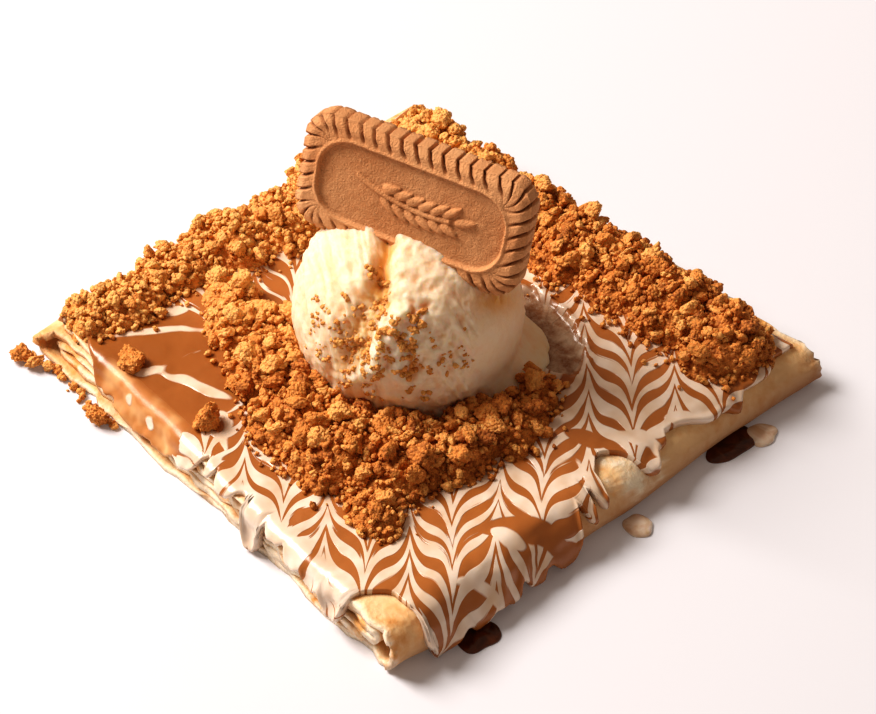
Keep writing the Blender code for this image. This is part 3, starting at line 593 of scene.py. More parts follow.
def build_coat():
    """The poured coat as a grid that is laid over the parcel and drawn out into its drips."""
    obj, u, v = add_grid("poured_sauce", COAT_COLUMNS, COAT_ROWS)
    _, along, across = coat_surface(u, v, np.zeros(len(u)))
    plan = on_plane(along, across)
    sides = [u * COAT_LENGTH_X, (1 - u) * COAT_LENGTH_X, v * COAT_LENGTH_Y, (1 - v) * COAT_LENGTH_Y]
    rim = np.minimum.reduce(sides)
    round_off = np.sqrt(1 - (1 - np.clip(rim / (1.7 * MM), 0, 1)) ** 2)
    pool = 1 + 0.22 * grain(plan, 15 * MM, 2, 5) + 0.12 * grain(plan, 5 * MM, 2, 6)
    hanging = ease(0, 6 * MM, along - RIGHT_FOLD_X) + ease(0, 4 * MM, -across - HALF_Y + 3 * MM)
    bead = bump(rim - 2.2 * MM, 1.6 * MM) * np.clip(hanging, 0, 1)
    runs = grain(plan * (1, 0.4, 1), 3.4 * MM, 2, 17)
    pool = pool + 0.42 * runs * np.clip(hanging, 0, 1)
    lift = (SEAT + SAUCE_THICK) * round_off * pool + 0.9 * MM * bead * round_off

    # Where the scoop was pushed along, the sauce is scraped thin, with a ridge pushed up beside it
    dx = along - SCRAPED_X
    dy = across - SCRAPED_Y
    across_patch = (dy * math.cos(SCRAPED_TURN) - dx * math.sin(SCRAPED_TURN)) / SCRAPED_WIDTH
    along_patch = (dx * math.cos(SCRAPED_TURN) + dy * math.sin(SCRAPED_TURN)) / SCRAPED_LENGTH
    spread = np.sqrt(across_patch**2 + along_patch**2) + 0.16 * grain(plan, 4 * MM, 3, 7)
    scraped = ease(1.08, 0.86, spread)
    ridge = bump(spread - 1.08, 0.10) * (1 + 0.8 * grain(plan, 2.2 * MM, 2, 8))
    lift = lift - 0.75 * MM * scraped * (1 + 0.5 * grain(plan, 3 * MM, 3, 9)) + 0.9 * MM * ridge
    lift = np.where(rim < 0.05 * MM, -0.25 * MM, lift)

    places, _, _ = coat_surface(u, v, lift)
    settled = settle(places)
    settled[:, 2] = np.maximum(settled[:, 2], 0.35 * MM + 0.3 * lift)
    set_places(obj, settled)

    # The share of cream sauce: more to the right and in the drips, less to the left
    share = 0.36 + 0.13 * ease(-28 * MM, 18 * MM, along)
    unrolled = np.stack([along, across], -1) / MM
    wobble = 0.35 * grain(plan, 5 * MM, 2, 10)
    # The strokes' depths are evened out over the grid, so that the strokes have soft outlines
    grid_order = np.lexsort((u.round(5), v.round(5)))
    for name, strokes in (("cream_stroke", CREAM_STROKES), ("caramel_stroke", CARAMEL_STROKES)):
        depth = stroke_depth(strokes, unrolled)[grid_order].reshape(COAT_ROWS + 1, COAT_COLUMNS + 1)
        for _ in range(3):
            padded = np.pad(depth, 1, mode="edge")
            beside = padded[1:-1, :-2] + padded[1:-1, 2:] + padded[:-2, 1:-1] + padded[2:, 1:-1]
            depth = (beside + 2 * depth) / 6
        smoothed = np.empty(len(u))
        smoothed[grid_order] = depth.ravel()
        set_values(obj, name, smoothed + wobble)
    plain_x, plain_y, half_x, half_y = PLAIN_CARAMEL
    from_plain = np.hypot((unrolled[:, 0] - plain_x) / half_x, (unrolled[:, 1] - plain_y) / half_y)
    share = share - 0.9 * ease(1.05, 0.8, from_plain)
    front = ease(-60 * MM, -63 * MM, across)
    film = ease(-48 * MM, -41 * MM, along) * ease(-11 * MM, -17 * MM, along) * front
    drips = ease(-16 * MM, -11 * MM, along) * ease(-61 * MM, -65 * MM, across)
    # Less cream low on the fold at +X, so that its foot is darker: painted shade
    low = ease(8 * MM, 13 * MM, along - RIGHT_FOLD_X)
    share = share * (1 - film) - 0.4 * film + 0.3 * drips - 0.22 * low
    set_values(obj, "cream_share", share)
    # Painted shade over the plain caramel patch
    set_values(obj, "deep", 0.45 * ease(1.15, 0.7, from_plain))
    set_values(obj, "scraped", scraped)
    set_values(obj, "film", film)

    # Unrolled places, across the skewer's lines and along them
    flow = obj.data.uv_layers[0] if obj.data.uv_layers else obj.data.uv_layers.new(name="flow")
    flow.name = "flow"
    corner_vertex = np.empty(len(obj.data.loops), int)
    obj.data.loops.foreach_get("vertex_index", corner_vertex)
    drawn = [along * way.x + across * way.y for way in (DRAW_ACROSS, DRAW_AWAY)]
    corners = np.stack(drawn, -1)[corner_vertex] / (FLOW_UNIT * MM)
    flow.data.foreach_set("uv", corners.ravel())
    apply_modifier(obj, "SOLIDIFY", thickness=COAT_DRAWN, offset=-1)
    return obj


def sauce_material():
    """Set caramel and cream sauce: a wet, even gloss, with the cream lines standing slightly proud."""
    made, tree, shader = new_material(
        "feathered_caramel_sauce",
        IOR=1.46,
        Coat_Weight=0.16,
        Coat_Roughness=0.16,
        Subsurface_Weight=0.12,
        Subsurface_Scale=2 * MM,
        Subsurface_Radius=(1.0, 0.7, 0.5),
    )
    flow = add_node(tree, "UVMap", uv_map="flow").outputs["UV"]
    # Hand drawn, so the lines wander by a millimetre or two over about 30 mm
    wander = add_node(tree, "TexNoise", {"Vector": flow, "Scale": 3.6, "Detail": 1.5}).outputs["Color"]
    centred = add_node(tree, "VectorMath", {0: wander, 1: (0.5, 0.5, 0.5)}, operation="SUBTRACT")
    swayed = add_node(
        tree, "VectorMath", {0: centred, 1: (0.03, 0.09, 0), 2: flow}, operation="MULTIPLY_ADD"
    )
    parts = add_node(tree, "SeparateXYZ", {0: swayed})
    across = add_node(
        tree, "Math", {0: parts.outputs["X"], 1: FLOW_UNIT, 2: DRAW_FIRST}, operation="MULTIPLY_ADD"
    )
    along = add_node(tree, "Math", {0: parts.outputs["Y"], 1: FLOW_UNIT}, operation="MULTIPLY")
    # Distance in millimetres to the nearest line drawn towards the camera, and to the nearest drawn away
    towards = add_node(tree, "Math", {0: across, 1: DRAW_SPACING}, operation="PINGPONG")
    away = add_node(tree, "Math", {0: DRAW_SPACING, 1: towards}, operation="SUBTRACT")
    pulls = []
    for distance in (towards, away):
        scaled = add_node(tree, "Math", {0: distance, 1: -1 / DRAW_WIDTH}, operation="MULTIPLY")
        pulls.append(add_node(tree, "Math", {0: scaled}, operation="EXPONENT"))
    pull = add_node(tree, "Math", {0: pulls[0], 1: pulls[1]}, operation="SUBTRACT")
    drawn = add_node(tree, "Math", {0: pull, 1: DRAW_LENGTH, 2: along}, operation="MULTIPLY_ADD")
    turns = add_node(tree, "Math", {0: drawn, 1: 2 * math.pi / PIPED_PITCH}, operation="MULTIPLY")
    wave = add_node(tree, "Math", {0: turns}, operation="SINE")
    # No two piped lines are alike: some are wide, some thin, and some split in two or stop in places
    beads = add_node(tree, "TexNoise", {"W": turns, "Scale": 0.42, "Detail": 2}, noise_dimensions="1D")
    uneven = add_node(tree, "MapRange", {"Value": beads, "To Min": -1.75, "To Max": 1.75}, clamp=False)
    patchy = add_node(tree, "TexNoise", {"Vector": flow, "Scale": 11, "Detail": 1})
    fading = add_node(tree, "MapRange", {"Value": patchy, "To Min": -0.9, "To Max": 0.9}, clamp=False)
    varied = add_node(tree, "Math", {0: uneven, 1: fading}, operation="ADD")
    # The cream closes up along each line that was drawn
    nearest = add_node(tree, "Math", {0: towards, 1: away}, operation="MINIMUM")
    closeness = add_node(tree, "Math", {0: nearest, 1: -0.9}, operation="MULTIPLY")
    closing = add_node(tree, "Math", {0: closeness}, operation="EXPONENT")
    drawn_in = add_node(tree, "Math", {0: closing, 1: 0.85, 2: varied}, operation="MULTIPLY_ADD")
    level = add_node(tree, "Math", {0: wave, 1: drawn_in}, operation="ADD")
    share = add_node(tree, "Attribute", attribute_name="cream_share").outputs["Fac"]
    threshold = add_node(tree, "MapRange", {"Value": share, "To Min": 1.9, "To Max": -1.9}, clamp=False)
    over = add_node(tree, "Math", {0: level, 1: threshold}, operation="SUBTRACT")
    piped = add_node(
        tree,
        "MapRange",
        {"Value": over, "From Min": -0.13, "From Max": 0.13},
        interpolation_type="SMOOTHSTEP",
    )
    # The stray strokes of caramel go over the piped lines, and those of cream over both
    edges = []
    for name in ("caramel_stroke", "cream_stroke"):
        stroke = add_node(tree, "Attribute", attribute_name=name).outputs["Fac"]
        edges.append(add_node(tree, "MapRange", {"Value": stroke, "From Min": -0.18, "From Max": 0.18}))
    uncovered = add_node(tree, "Math", {0: piped, 1: edges[0]}, operation="SUBTRACT")
    cream = add_node(tree, "Math", {0: uncovered, 1: edges[1]}, operation="MAXIMUM", use_clamp=True)
    # Caramel is darker where it lies deep, and darker again over the plain patch as painted shade; it is
    # amber where it is a thin film, and it tints thin cream
    place = add_node(tree, "TexCoord").outputs["Object"]
    depth = add_node(tree, "TexNoise", {"Vector": place, "Scale": 1 / SAUCE_SWELLS, "Detail": 3})
    # The painted shade over the plain patch, added to the deep patches
    deep = add_node(tree, "Attribute", attribute_name="deep").outputs["Fac"]
    depth_and_shade = add_node(tree, "Math", {0: depth, 1: deep}, operation="ADD")
    film = add_node(tree, "Attribute", attribute_name="film").outputs["Fac"]
    tint = add_node(tree, "TexNoise", {"Vector": place, "Scale": 1 / SAUCE_TINTS, "Detail": 2})
    thin = add_node(tree, "MapRange", {"Value": tint, "From Min": 0.42, "From Max": 0.66})
    tinted = add_node(tree, "MapRange", {"Value": tint, "From Min": 0.35, "From Max": 0.8})
    # The scraped patch is caramel and melted ice cream rubbed together, darkened with a painted shadow of
    # the scoop
    scraped = add_node(tree, "Attribute", attribute_name="scraped").outputs["Fac"]
    streaks = add_node(
        tree, "TexNoise", {"Vector": place, "Scale": 1 / RUBBED_STREAKS, "Detail": 5, "Roughness": 0.65}
    )
    rubbed = add_node(tree, "MapRange", {"Value": streaks, "From Min": 0.38, "From Max": 0.66})
    caramel, sheer, cream_tone, muddy_and_shadowed = (
        add_node(tree, "Mix", {0: mix, 6: colour(one), 7: colour(other)}, data_type="RGBA")
        for mix, one, other in (
            (depth_and_shade, CARAMEL, CARAMEL_DEEP_AND_SHADE),
            (thin, CARAMEL_THIN, CARAMEL_SHEER),
            (tinted, CREAM_SAUCE, CREAM_SHADE),
            (rubbed, RUBBED_DARK_AND_SHADOW, RUBBED_PALE),
        )
    )
    whole = caramel
    for cover, over in ((film, sheer), (cream, cream_tone), (scraped, muddy_and_shadowed)):
        whole = add_node(tree, "Mix", {0: cover, 6: whole, 7: over}, data_type="RGBA")
    # The thin film has partly soaked into the batter, so it is less glossy
    dull = add_node(tree, "MapRange", {"Value": film, "To Min": 0.25, "To Max": 0.5})
    proud = add_node(tree, "Bump", {"Height": cream, "Strength": 0.55, "Distance": 0.4 * MM})
    ripple = add_node(
        tree, "Bump", {"Height": depth, "Strength": 0.5, "Distance": 1.6 * MM, "Normal": proud}
    )
    connect(tree, shader, {"Base Color": whole, "Roughness": dull, "Normal": ripple})
    return made


finish_piece(build_coat(), sauce_material(), ["sauce_coat"])


# The scoop of ice cream
# Vanilla ice cream, turned out of a ball scoop: frozen cream that tears into ribs and crags where
# the scoop dragged it, and melts smooth at its foot. The biscuit was pushed down into its top.

SCOOP_RADIUS = 28.5 * MM
SCOOP_CENTRE = np.array((3.0, -5.3, 28.0)) * MM
SCOOP_TALL = 0.95
SCOOP_FINENESS = 7

# How deep or high each kind of relief is, as a share of the radius
CLEFT_DEPTH = 0.13
HOLLOW_DEPTH = 0.085
RIDGE_HEIGHT = 0.055
CRAG_HEIGHT = 0.042
BIT_HEIGHT = 0.026
RIB_DEPTH = 0.036
STREAK_HEIGHT = 0.036
LINE_HEIGHT = 0.005
FOLD_HEIGHT = 0.009
FINE_HEIGHT = 0.007

VANILLA = "F6E0C4"
# The warm painted shade in the crevices
VANILLA_HOLLOW_SHADE = "E9B36E"
ICE_GRAIN = 2.2 * MM

# The three ways of the view on the front corner: to the right, up, and out towards the viewer
FRONT_RIGHT = np.array((0.682, 0.731, 0))
FRONT_UP = np.array((-0.530, 0.495, 0.688))
FRONT_OUT = np.array((0.503, -0.469, 0.725))


def wrap(angle):
    """An angle brought to between minus and plus half a turn."""
    return (angle + math.pi) % (2 * math.pi) - math.pi


def scoop_surface(direction):
    """Where points of a unit ball lie on the scoop, and how deep each lies in a crevice from 0 to 1."""
    angle = np.arctan2(direction[:, 1], direction[:, 0])
    seat = (COAT_TOP * 0.985 + SEAT - SCOOP_CENTRE[2]) / SCOOP_RADIUS
    height = np.where(direction[:, 2] > 0, direction[:, 2] * SCOOP_TALL, direction[:, 2])
    low = ease(-0.12, seat, height)
    spread = 0.10 + 0.05 * np.sin(3 * angle + 0.4) + 0.04 * np.sin(7 * angle)
    tongue = 0.34 * bump(wrap(angle - math.radians(42)), 0.42)
    side = direction[:, :2] * (1 + ((spread + tongue) * low**3)[:, None])

    # Places on the scoop as it is seen from the front corner: to the right and up, from -1 to 1
    right = direction @ FRONT_RIGHT
    up = direction @ FRONT_UP
    out = direction @ FRONT_OUT
    facing = ease(-0.05, 0.35, out)
    sway = 0.05 * grain(direction, 0.3, 2, 11)

    # A cleft opens under the biscuit, and widens downwards into a torn hollow beside a bright ridge
    cleft = bump(right + 0.20 + 0.10 * (0.45 - up) + sway, 0.075) * ease(-0.12, 0.25, up) * facing
    hollow_line = right + 0.40 - 0.35 * (up + 0.2) + sway
    hollow = bump(hollow_line, 0.17) * ease(-0.68, -0.35, up) * ease(0.26, 0.0, up) * facing
    ridge_line = right + 0.17 - 0.55 * (up + 0.25) + sway
    ridge = bump(ridge_line, 0.075) * ease(-0.72, -0.45, up) * ease(0.2, -0.05, up) * facing
    left_lobe = 0.06 * np.exp(-8 * ((direction - (-0.60, -0.40, 0.69)) ** 2).sum(1))
    lumpy = np.array([noise.noise(Vector(way) * 2.3 + Vector((4, 1, 7))) for way in direction])
    lumps = left_lobe + 0.022 * lumpy

    # Torn in the middle, ribbed on the left, streaked on the right, and melted smooth at the foot
    foot = ease(-0.42, -0.62, direction[:, 2])
    melted = np.clip(foot + facing * ease(0.52, 0.68, right) * ease(0.12, -0.02, up), 0, 1)
    torn = np.exp(-(((right + 0.12) / 0.42) ** 2) - ((up + 0.22) / 0.36) ** 2) * facing
    left = ease(0.0, -0.30, right) * (1 - melted)
    torn = np.clip(torn + 0.18 - 0.12 * left, 0, 1) * (1 - melted)
    crags = 1 - 2 * np.abs(grain(direction * (1, 1, 0.7), 0.24, 4, 13))
    bits = grain(direction, 0.085, 3, 14)
    ribs = np.abs(grain(np.stack([right * 13 + up * 2.5, up * 0.8, out], -1), 1.0, 3, 12))
    streaks = grain(np.stack([(right + 0.7 * up) * 13, (up - 0.7 * right) * 2.2, 0 * up], -1), 1.0, 3, 15)
    streaked = bump(right - 0.46, 0.22) * ease(0.12, 0.0, up) * (1 - melted)
    patch = bump(right - 0.76, 0.2) * bump(up - 0.08, 0.13) * facing
    lines = np.sin(right * 70 + 4 * grain(direction, 0.4, 2, 16))
    folds = np.sin(up * 38 + 3 * right + 5 * sway) * bump(up + 0.70, 0.09) * facing
    size = 1 - CLEFT_DEPTH * cleft - HOLLOW_DEPTH * hollow + RIDGE_HEIGHT * ridge + lumps
    size = size + torn * (CRAG_HEIGHT * crags + BIT_HEIGHT * bits)
    size = size - RIB_DEPTH * left * ribs + STREAK_HEIGHT * streaked * streaks
    size = size + LINE_HEIGHT * patch * lines + FOLD_HEIGHT * folds
    size = size + (1 - melted) * FINE_HEIGHT * (crags + bits)
    # How deep each point lies in a crevice, less on the ridge: the material paints it as a warm shade
    depth = 0.9 * cleft + 0.45 * hollow + 0.75 * patch + torn * ease(0.35, -0.5, crags + 0.8 * bits)
    depth = np.clip(depth + 0.4 * left * ribs - 0.6 * ridge, 0, 1)
    z = np.maximum(height, seat - 0.05) * size * SCOOP_RADIUS
    spot = np.stack([side[:, 0] * size * SCOOP_RADIUS, side[:, 1] * size * SCOOP_RADIUS, z], -1)
    return SCOOP_CENTRE + spot, depth


def build_scoop():
    """A fine ball, each point of it moved along its own direction to where the scoop's surface lies."""
    ball = bpy.ops.mesh.primitive_ico_sphere_add
    obj = add_primitive("vanilla_scoop", ball, subdivisions=SCOOP_FINENESS, radius=1)
    direction = vertex_places(obj)
    places, hollow = scoop_surface(direction / np.linalg.norm(direction, axis=1)[:, None])
    set_places(obj, places)
    set_values(obj, "hollow", hollow)
    return obj


def ice_cream_material():
    """Frozen dairy cream: light goes a few millimetres in, so shadows are warm and edges soft."""
    made, tree, shader = new_material(
        "vanilla_ice_cream",
        Roughness=0.42,
        IOR=1.35,
        Specular_IOR_Level=0.4,
        Subsurface_Weight=0.6,
        Subsurface_Scale=6 * MM,
        Subsurface_Radius=(1.0, 0.72, 0.42),
    )
    place = add_node(tree, "TexCoord").outputs["Object"]
    hollow = add_node(tree, "Attribute", attribute_name="hollow").outputs["Fac"]
    fine = add_node(
        tree, "TexNoise", {"Vector": place, "Scale": 1 / ICE_GRAIN, "Detail": 5, "Roughness": 0.6}
    )
    # Painted shade: golden in the crevices, cleft and torn crags, mottled by the grain
    mottled_shade = add_node(tree, "Math", {0: fine, 1: 0.5, 2: hollow}, operation="MULTIPLY_ADD")
    depth = add_node(tree, "MapRange", {"Value": mottled_shade, "From Min": 0.22, "From Max": 1.05})
    base = add_node(
        tree, "Mix", {0: depth, 6: colour(VANILLA), 7: colour(VANILLA_HOLLOW_SHADE)}, data_type="RGBA"
    )
    bumps = add_node(tree, "Bump", {"Height": fine, "Strength": 0.5, "Distance": 0.7 * MM})
    connect(tree, shader, {"Base Color": base, "Normal": bumps})
    return made


finish_piece(build_scoop(), ice_cream_material(), ["ice_cream_scoop"])


# The biscuit
# A spiced shortcrust biscuit, stamped from rolled dough in a mould and baked brown all through: a
# fluted rim of slanted ridges round a sunk panel, where an ear of wheat stands in low relief.

BISCUIT_LENGTH = 60.5 * MM
BISCUIT_WIDTH = 31.3 * MM
BISCUIT_THICK = 7.2 * MM
BISCUIT_CORNER = 7 * MM
RIDGES = 46
RIM_WIDTH = 5.0 * MM
BISCUIT_GRID = (300, 156)
PANEL_CORNER = 8.5 * MM
PANEL_DEPTH = 0.95 * MM
PANEL_CROWN = 0.25 * MM
FACE_ROUNDING = 1.4 * MM
FLUTE_DEPTH = 1.05 * MM
RIDGE_SWELL = 1.0 * MM
BEAD_HEIGHT = 0.32 * MM
EAR_RELIEF = 0.95 * MM
BISCUIT_CENTRE = Vector((3.5 * MM, -4.8 * MM, 63.3 * MM))
BISCUIT_ALONG = Vector((0.940, 0.340, -0.03)).normalized()
BISCUIT_OUT = Vector((0.330, -0.890, 0.300)).normalized()
BISCUIT_UP = BISCUIT_OUT.cross(BISCUIT_ALONG).normalized()

# Its side, from the face down: how deep each step goes in millimetres, and how much smaller it gets
SIDE_STEPS = ((0.9, 1.0), (1.6, 1.0), (1.8, 1.0), (1.0, 0.985), (0.5, 0.96))
UNDERSIDE_RINGS = (0.97, 0.8, 0.6, 0.4, 0.1)

BISCUIT_BROWN = "D49463"
BISCUIT_FLUTE_SHADE = "7C4528"
BISCUIT_LIGHT = "E6AE7E"
BISCUIT_GRIT = "EDBE8C"

# Sugar and flour grit is finer than this, and is drawn as coarse as it needs to show
SUGAR_GRIT = 0.5 * MM
BAKED_PATCHES = 12 * MM

# The ear of wheat: kernels in pairs up a stem, in the panel's own millimetres
EAR_LENGTH = 30.0
KERNEL_PAIRS = 6
KERNEL_LENGTH = 5.6
KERNEL_WIDTH = 2.3
KERNEL_PITCH = 3.3
KERNEL_SPLAY = 0.55
STEM_HALF_WIDTH = 0.75


def biscuit_place():
    """The matrix that stands the biscuit, modelled flat and face up, in the scoop."""
    along = BISCUIT_UP.cross(BISCUIT_OUT).normalized()
    turn = Matrix((along, BISCUIT_UP, BISCUIT_OUT)).transposed()
    return Matrix.Translation(BISCUIT_CENTRE) @ turn.to_4x4()


def bar_distance(x, y):
    """Distance inside the biscuit's plain outline, and the length round it to the nearest point of it."""
    half_x = BISCUIT_LENGTH / 2 - BISCUIT_CORNER
    half_y = BISCUIT_WIDTH / 2 - BISCUIT_CORNER
    out_x = np.abs(x) - half_x
    out_y = np.abs(y) - half_y
    corner = (out_x > 0) & (out_y > 0)
    radial = np.hypot(np.maximum(out_x, 0), np.maximum(out_y, 0))
    distance = np.where(corner, BISCUIT_CORNER - radial, BISCUIT_CORNER - np.maximum(out_x, out_y))
    arc_length = BISCUIT_CORNER * np.arctan2(np.maximum(out_y, 0), np.maximum(out_x, 1e-9))
    quarter_run = half_y + BISCUIT_CORNER * math.pi / 2 + half_x
    straight = np.where(out_x > out_y, np.abs(y), quarter_run - np.abs(x))
    walk = np.where(corner, half_y + arc_length, straight)
    walk = np.where(x < 0, 2 * quarter_run - walk, walk)
    walk = np.where(y < 0, -walk, walk)
    return distance, walk, 4 * quarter_run


def panel_distance(x, y):
    """Distance from the edge of the sunk panel, negative inside it."""
    out_x = np.abs(x) - (BISCUIT_LENGTH / 2 - RIM_WIDTH - PANEL_CORNER)
    out_y = np.abs(y) - (BISCUIT_WIDTH / 2 - RIM_WIDTH - PANEL_CORNER)
    outside = np.hypot(np.maximum(out_x, 0), np.maximum(out_y, 0))
    return outside + np.minimum(np.maximum(out_x, out_y), 0) - PANEL_CORNER


def kernel_height(x, y, centre_x, centre_y, slant):
    """Height from 0 to 1 of one wheat kernel, pointed at its far end. Millimetres and radians."""
    dx = x - centre_x
    dy = y - centre_y
    along = (dx * math.cos(slant) + dy * math.sin(slant)) / (KERNEL_LENGTH / 2)
    across = (dy * math.cos(slant) - dx * math.sin(slant)) / (KERNEL_WIDTH / 2)
    taper = 1 - 0.45 * np.clip(along, -1, 1)
    return np.sqrt(np.clip(1 - along**2 - (across / taper) ** 2, 0, 1))


def ear_height(x, y):
    """Height from 0 to 1 of the ear of wheat over the panel, with its stem. Metres in."""
    x, y = x / MM, y / MM
    bend = 0.012 * (x - 3) ** 2 - 1.0
    y = y - bend
    on_stem = (x > -EAR_LENGTH / 2) * (x < EAR_LENGTH / 2 - 4)
    stem = np.sqrt(np.clip(1 - (y / STEM_HALF_WIDTH) ** 2, 0, 1)) * on_stem
    height = 0.75 * stem
    first = -EAR_LENGTH / 2 + 9.5
    for pair in range(KERNEL_PAIRS):
        place = first + pair * KERNEL_PITCH
        for side in (-1, 1):
            height = np.maximum(height, kernel_height(x, y, place, side * 2.5, side * KERNEL_SPLAY))
    return np.maximum(height, kernel_height(x, y, EAR_LENGTH / 2 - 0.2, 0, 0))


def build_biscuit():
    """The biscuit modelled flat and face up, and then stood in the scoop."""
    obj, u, v = add_grid("embossed_biscuit", *BISCUIT_GRID)
    # The square grid is drawn in at its corners, so that its border is the rounded outline
    a = u * 2 - 1
    b = v * 2 - 1
    x = a * BISCUIT_LENGTH / 2
    y = b * BISCUIT_WIDTH / 2
    out_x = np.maximum(np.abs(x) - (BISCUIT_LENGTH / 2 - BISCUIT_CORNER), 0) / BISCUIT_CORNER
    out_y = np.maximum(np.abs(y) - (BISCUIT_WIDTH / 2 - BISCUIT_CORNER), 0) / BISCUIT_CORNER
    x = x - np.sign(x) * BISCUIT_CORNER * out_x * (1 - np.sqrt(1 - out_y**2 / 2))
    y = y - np.sign(y) * BISCUIT_CORNER * out_y * (1 - np.sqrt(1 - out_x**2 / 2))
    distance, walk, around = bar_distance(x, y)
    flat = on_plane(x, y)
    slant = walk + 0.62 * np.clip(distance, 0, RIM_WIDTH) + 0.45 * MM * grain(flat, 6 * MM, 2, 24)
    pitch = around / RIDGES
    ridge = ease(0.02, 0.55, np.abs(np.sin(math.pi * slant / pitch)))

    # The outline swells at each ridge, most at the border itself
    border = ease(3.0 * MM, 0, distance)
    inward = np.hypot(x, y)
    grow = RIDGE_SWELL * (ridge - 0.62) * border
    x = x * (1 + grow / np.maximum(inward, MM))
    y = y * (1 + grow / np.maximum(inward, MM))

    from_panel = panel_distance(x, y)
    fluted = ease(0.5 * MM, 1.4 * MM, from_panel) * ease(-0.2 * MM, 0.5 * MM, distance + 0.4 * MM)
    worn = 1 - 0.5 * np.clip(grain(flat, 7 * MM, 2, 23) + 0.25, 0, 1)
    fluted = fluted * (0.25 + 0.75 * ease(4.6 * MM, 2.4 * MM, distance))
    z = -FACE_ROUNDING * ease(2.4 * MM, 0, distance) ** 1.4 - FLUTE_DEPTH * (1 - ridge) * fluted * worn
    bead = BEAD_HEIGHT * bump(from_panel - 0.35 * MM, 0.45 * MM)
    panel = ease(0.15 * MM, -0.5 * MM, from_panel)
    crowned = PANEL_CROWN * ease(-1 * MM, -8 * MM, from_panel)
    z = z + bead - (PANEL_DEPTH - crowned) * panel + EAR_RELIEF * ear_height(x, y) ** 0.8 * panel
    z = z + 0.12 * MM * grain(flat, 2.2 * MM, 4, 21) + 0.25 * MM * grain(flat, 12 * MM, 2, 22)
    set_places(obj, np.stack([x, y, z], -1))
    # Painted shade: darkest in the flutes, a little in the panel, and lifted off the ear
    set_values(obj, "low", np.clip((1 - ridge) * fluted + 0.16 * panel - 0.5 * ear_height(x, y), 0, 1))

    # The border is drawn down in steps to make the side, and the underside is closed
    edit_all(obj)
    bpy.ops.mesh.region_to_loop()
    for depth, inset in SIDE_STEPS:
        bpy.ops.mesh.extrude_region_move(TRANSFORM_OT_translate={"value": (0, 0, -depth * MM)})
        bpy.ops.transform.resize(value=(inset, inset, 1), center_override=(0, 0, 0))
    for inset in UNDERSIDE_RINGS:
        bpy.ops.mesh.extrude_region_move()
        bpy.ops.transform.resize(value=(inset, inset, 1), center_override=(0, 0, 0))
    bpy.ops.mesh.edge_face_add()
    bpy.ops.object.mode_set(mode="OBJECT")
    places = vertex_places(obj)
    under = places[:, 2] < -BISCUIT_THICK + 0.6 * MM
    places[under, 2] = -BISCUIT_THICK + 0.2 * MM * grain(places[under], 5 * MM, 3, 25)
    set_places(obj, places)
    set_values(obj, "low", get_values(obj, "low") * ease(-5 * MM, -2 * MM, places[:, 2]))
    face_out(obj)
    obj.data.transform(biscuit_place())
    return obj


def biscuit_material():
    """Baked spiced dough: dry, matt and sandy, with painted shade in the flutes and the panel, and pale
    sugar grit.
    """
    made, tree, shader = new_material("baked_spiced_biscuit", Roughness=0.82, Specular_IOR_Level=0.3)
    place = add_node(tree, "TexCoord").outputs["Object"]
    low = add_node(tree, "Attribute", attribute_name="low").outputs["Fac"]
    bake = add_node(tree, "TexNoise", {"Vector": place, "Scale": 1 / BAKED_PATCHES, "Detail": 4})
    browned = add_node(tree, "MapRange", {"Value": bake, "From Min": 0.3, "From Max": 0.75})
    # Painted shade in the flutes and panel
    shade = add_node(tree, "Math", {0: low, 1: 0.85}, operation="MULTIPLY")
    grit = add_node(
        tree, "TexNoise", {"Vector": place, "Scale": 1 / SUGAR_GRIT, "Detail": 3, "Roughness": 0.6}
    )
    pale = add_node(tree, "MapRange", {"Value": grit, "From Min": 0.54, "From Max": 0.72, "To Max": 0.6})
    whole = colour(BISCUIT_LIGHT)
    for share, over in ((browned, BISCUIT_BROWN), (shade, BISCUIT_FLUTE_SHADE), (pale, BISCUIT_GRIT)):
        whole = add_node(tree, "Mix", {0: share, 6: whole, 7: colour(over)}, data_type="RGBA")
    sand = add_node(tree, "Bump", {"Height": grit, "Strength": 1.0, "Distance": 0.55 * MM})
    connect(tree, shader, {"Base Color": whole, "Normal": sand})
    return made


finish_piece(build_biscuit(), biscuit_material(), ["biscuit"])


# The crushed biscuit
# The same biscuit broken by hand and strewn while the sauce was wet: three heaps round the scoop,
# with angular lumps on top, finer bits in the gaps and dust at the edges, and some stray lumps.

CRUMB_BROWN = "DC924C"
CRUMB_DEEP_AND_GAP_SHADE = "8E4C24"
CRUMB_PALE_AND_LIT = "FABE76"
CRUMB_GRAIN = 0.8 * MM

# Each mound of a heap in millimetres: x, y, half length along X, half length along Y, height
FRONT_HEAP = (
    (-41, -26, 8, 7, 5),
    (-30, -31, 10, 9, 7),
    (-13, -35, 13, 12, 9.5),
    (3, -40, 14, 14, 10),
    (18, -41, 13, 15, 10),
    (31, -34, 13, 15, 9),
    (38, -21, 10, 13, 8),
    (40, -6, 9, 11, 6.5),
    (36, 7, 7, 6, 5),
    (40, -50, 8, 6, 4.5),
    (-24, -24, 8, 8, 7),
    (10, -29, 12, 7, 8),
    (24, -25, 9, 8, 7.5),
    (31, -12, 7, 9, 6.5),
)
LEFT_HEAP = (
    (-62, -56, 8, 5, 5),
    (-59, -45, 9, 9, 6),
    (-60, -29, 9, 10, 5.5),
    (-58, -12, 12, 10, 6.5),
    (-53, 5, 13, 11, 7),
    (-55, 22, 13, 11, 7.5),
    (-56, 37, 10, 9, 6.5),
)
BACK_HEAP = (
    (-50, 53, 12, 8, 7),
    (-31, 50, 13, 11, 8),
    (-11, 50, 14, 12, 8.5),
    (7, 49, 13, 14, 9),
    (24, 52, 14, 13, 9),
    (40, 53, 12, 14, 9),
    (56, 53, 12, 13, 8.5),
)
CORE_STEP = 0.7 * MM

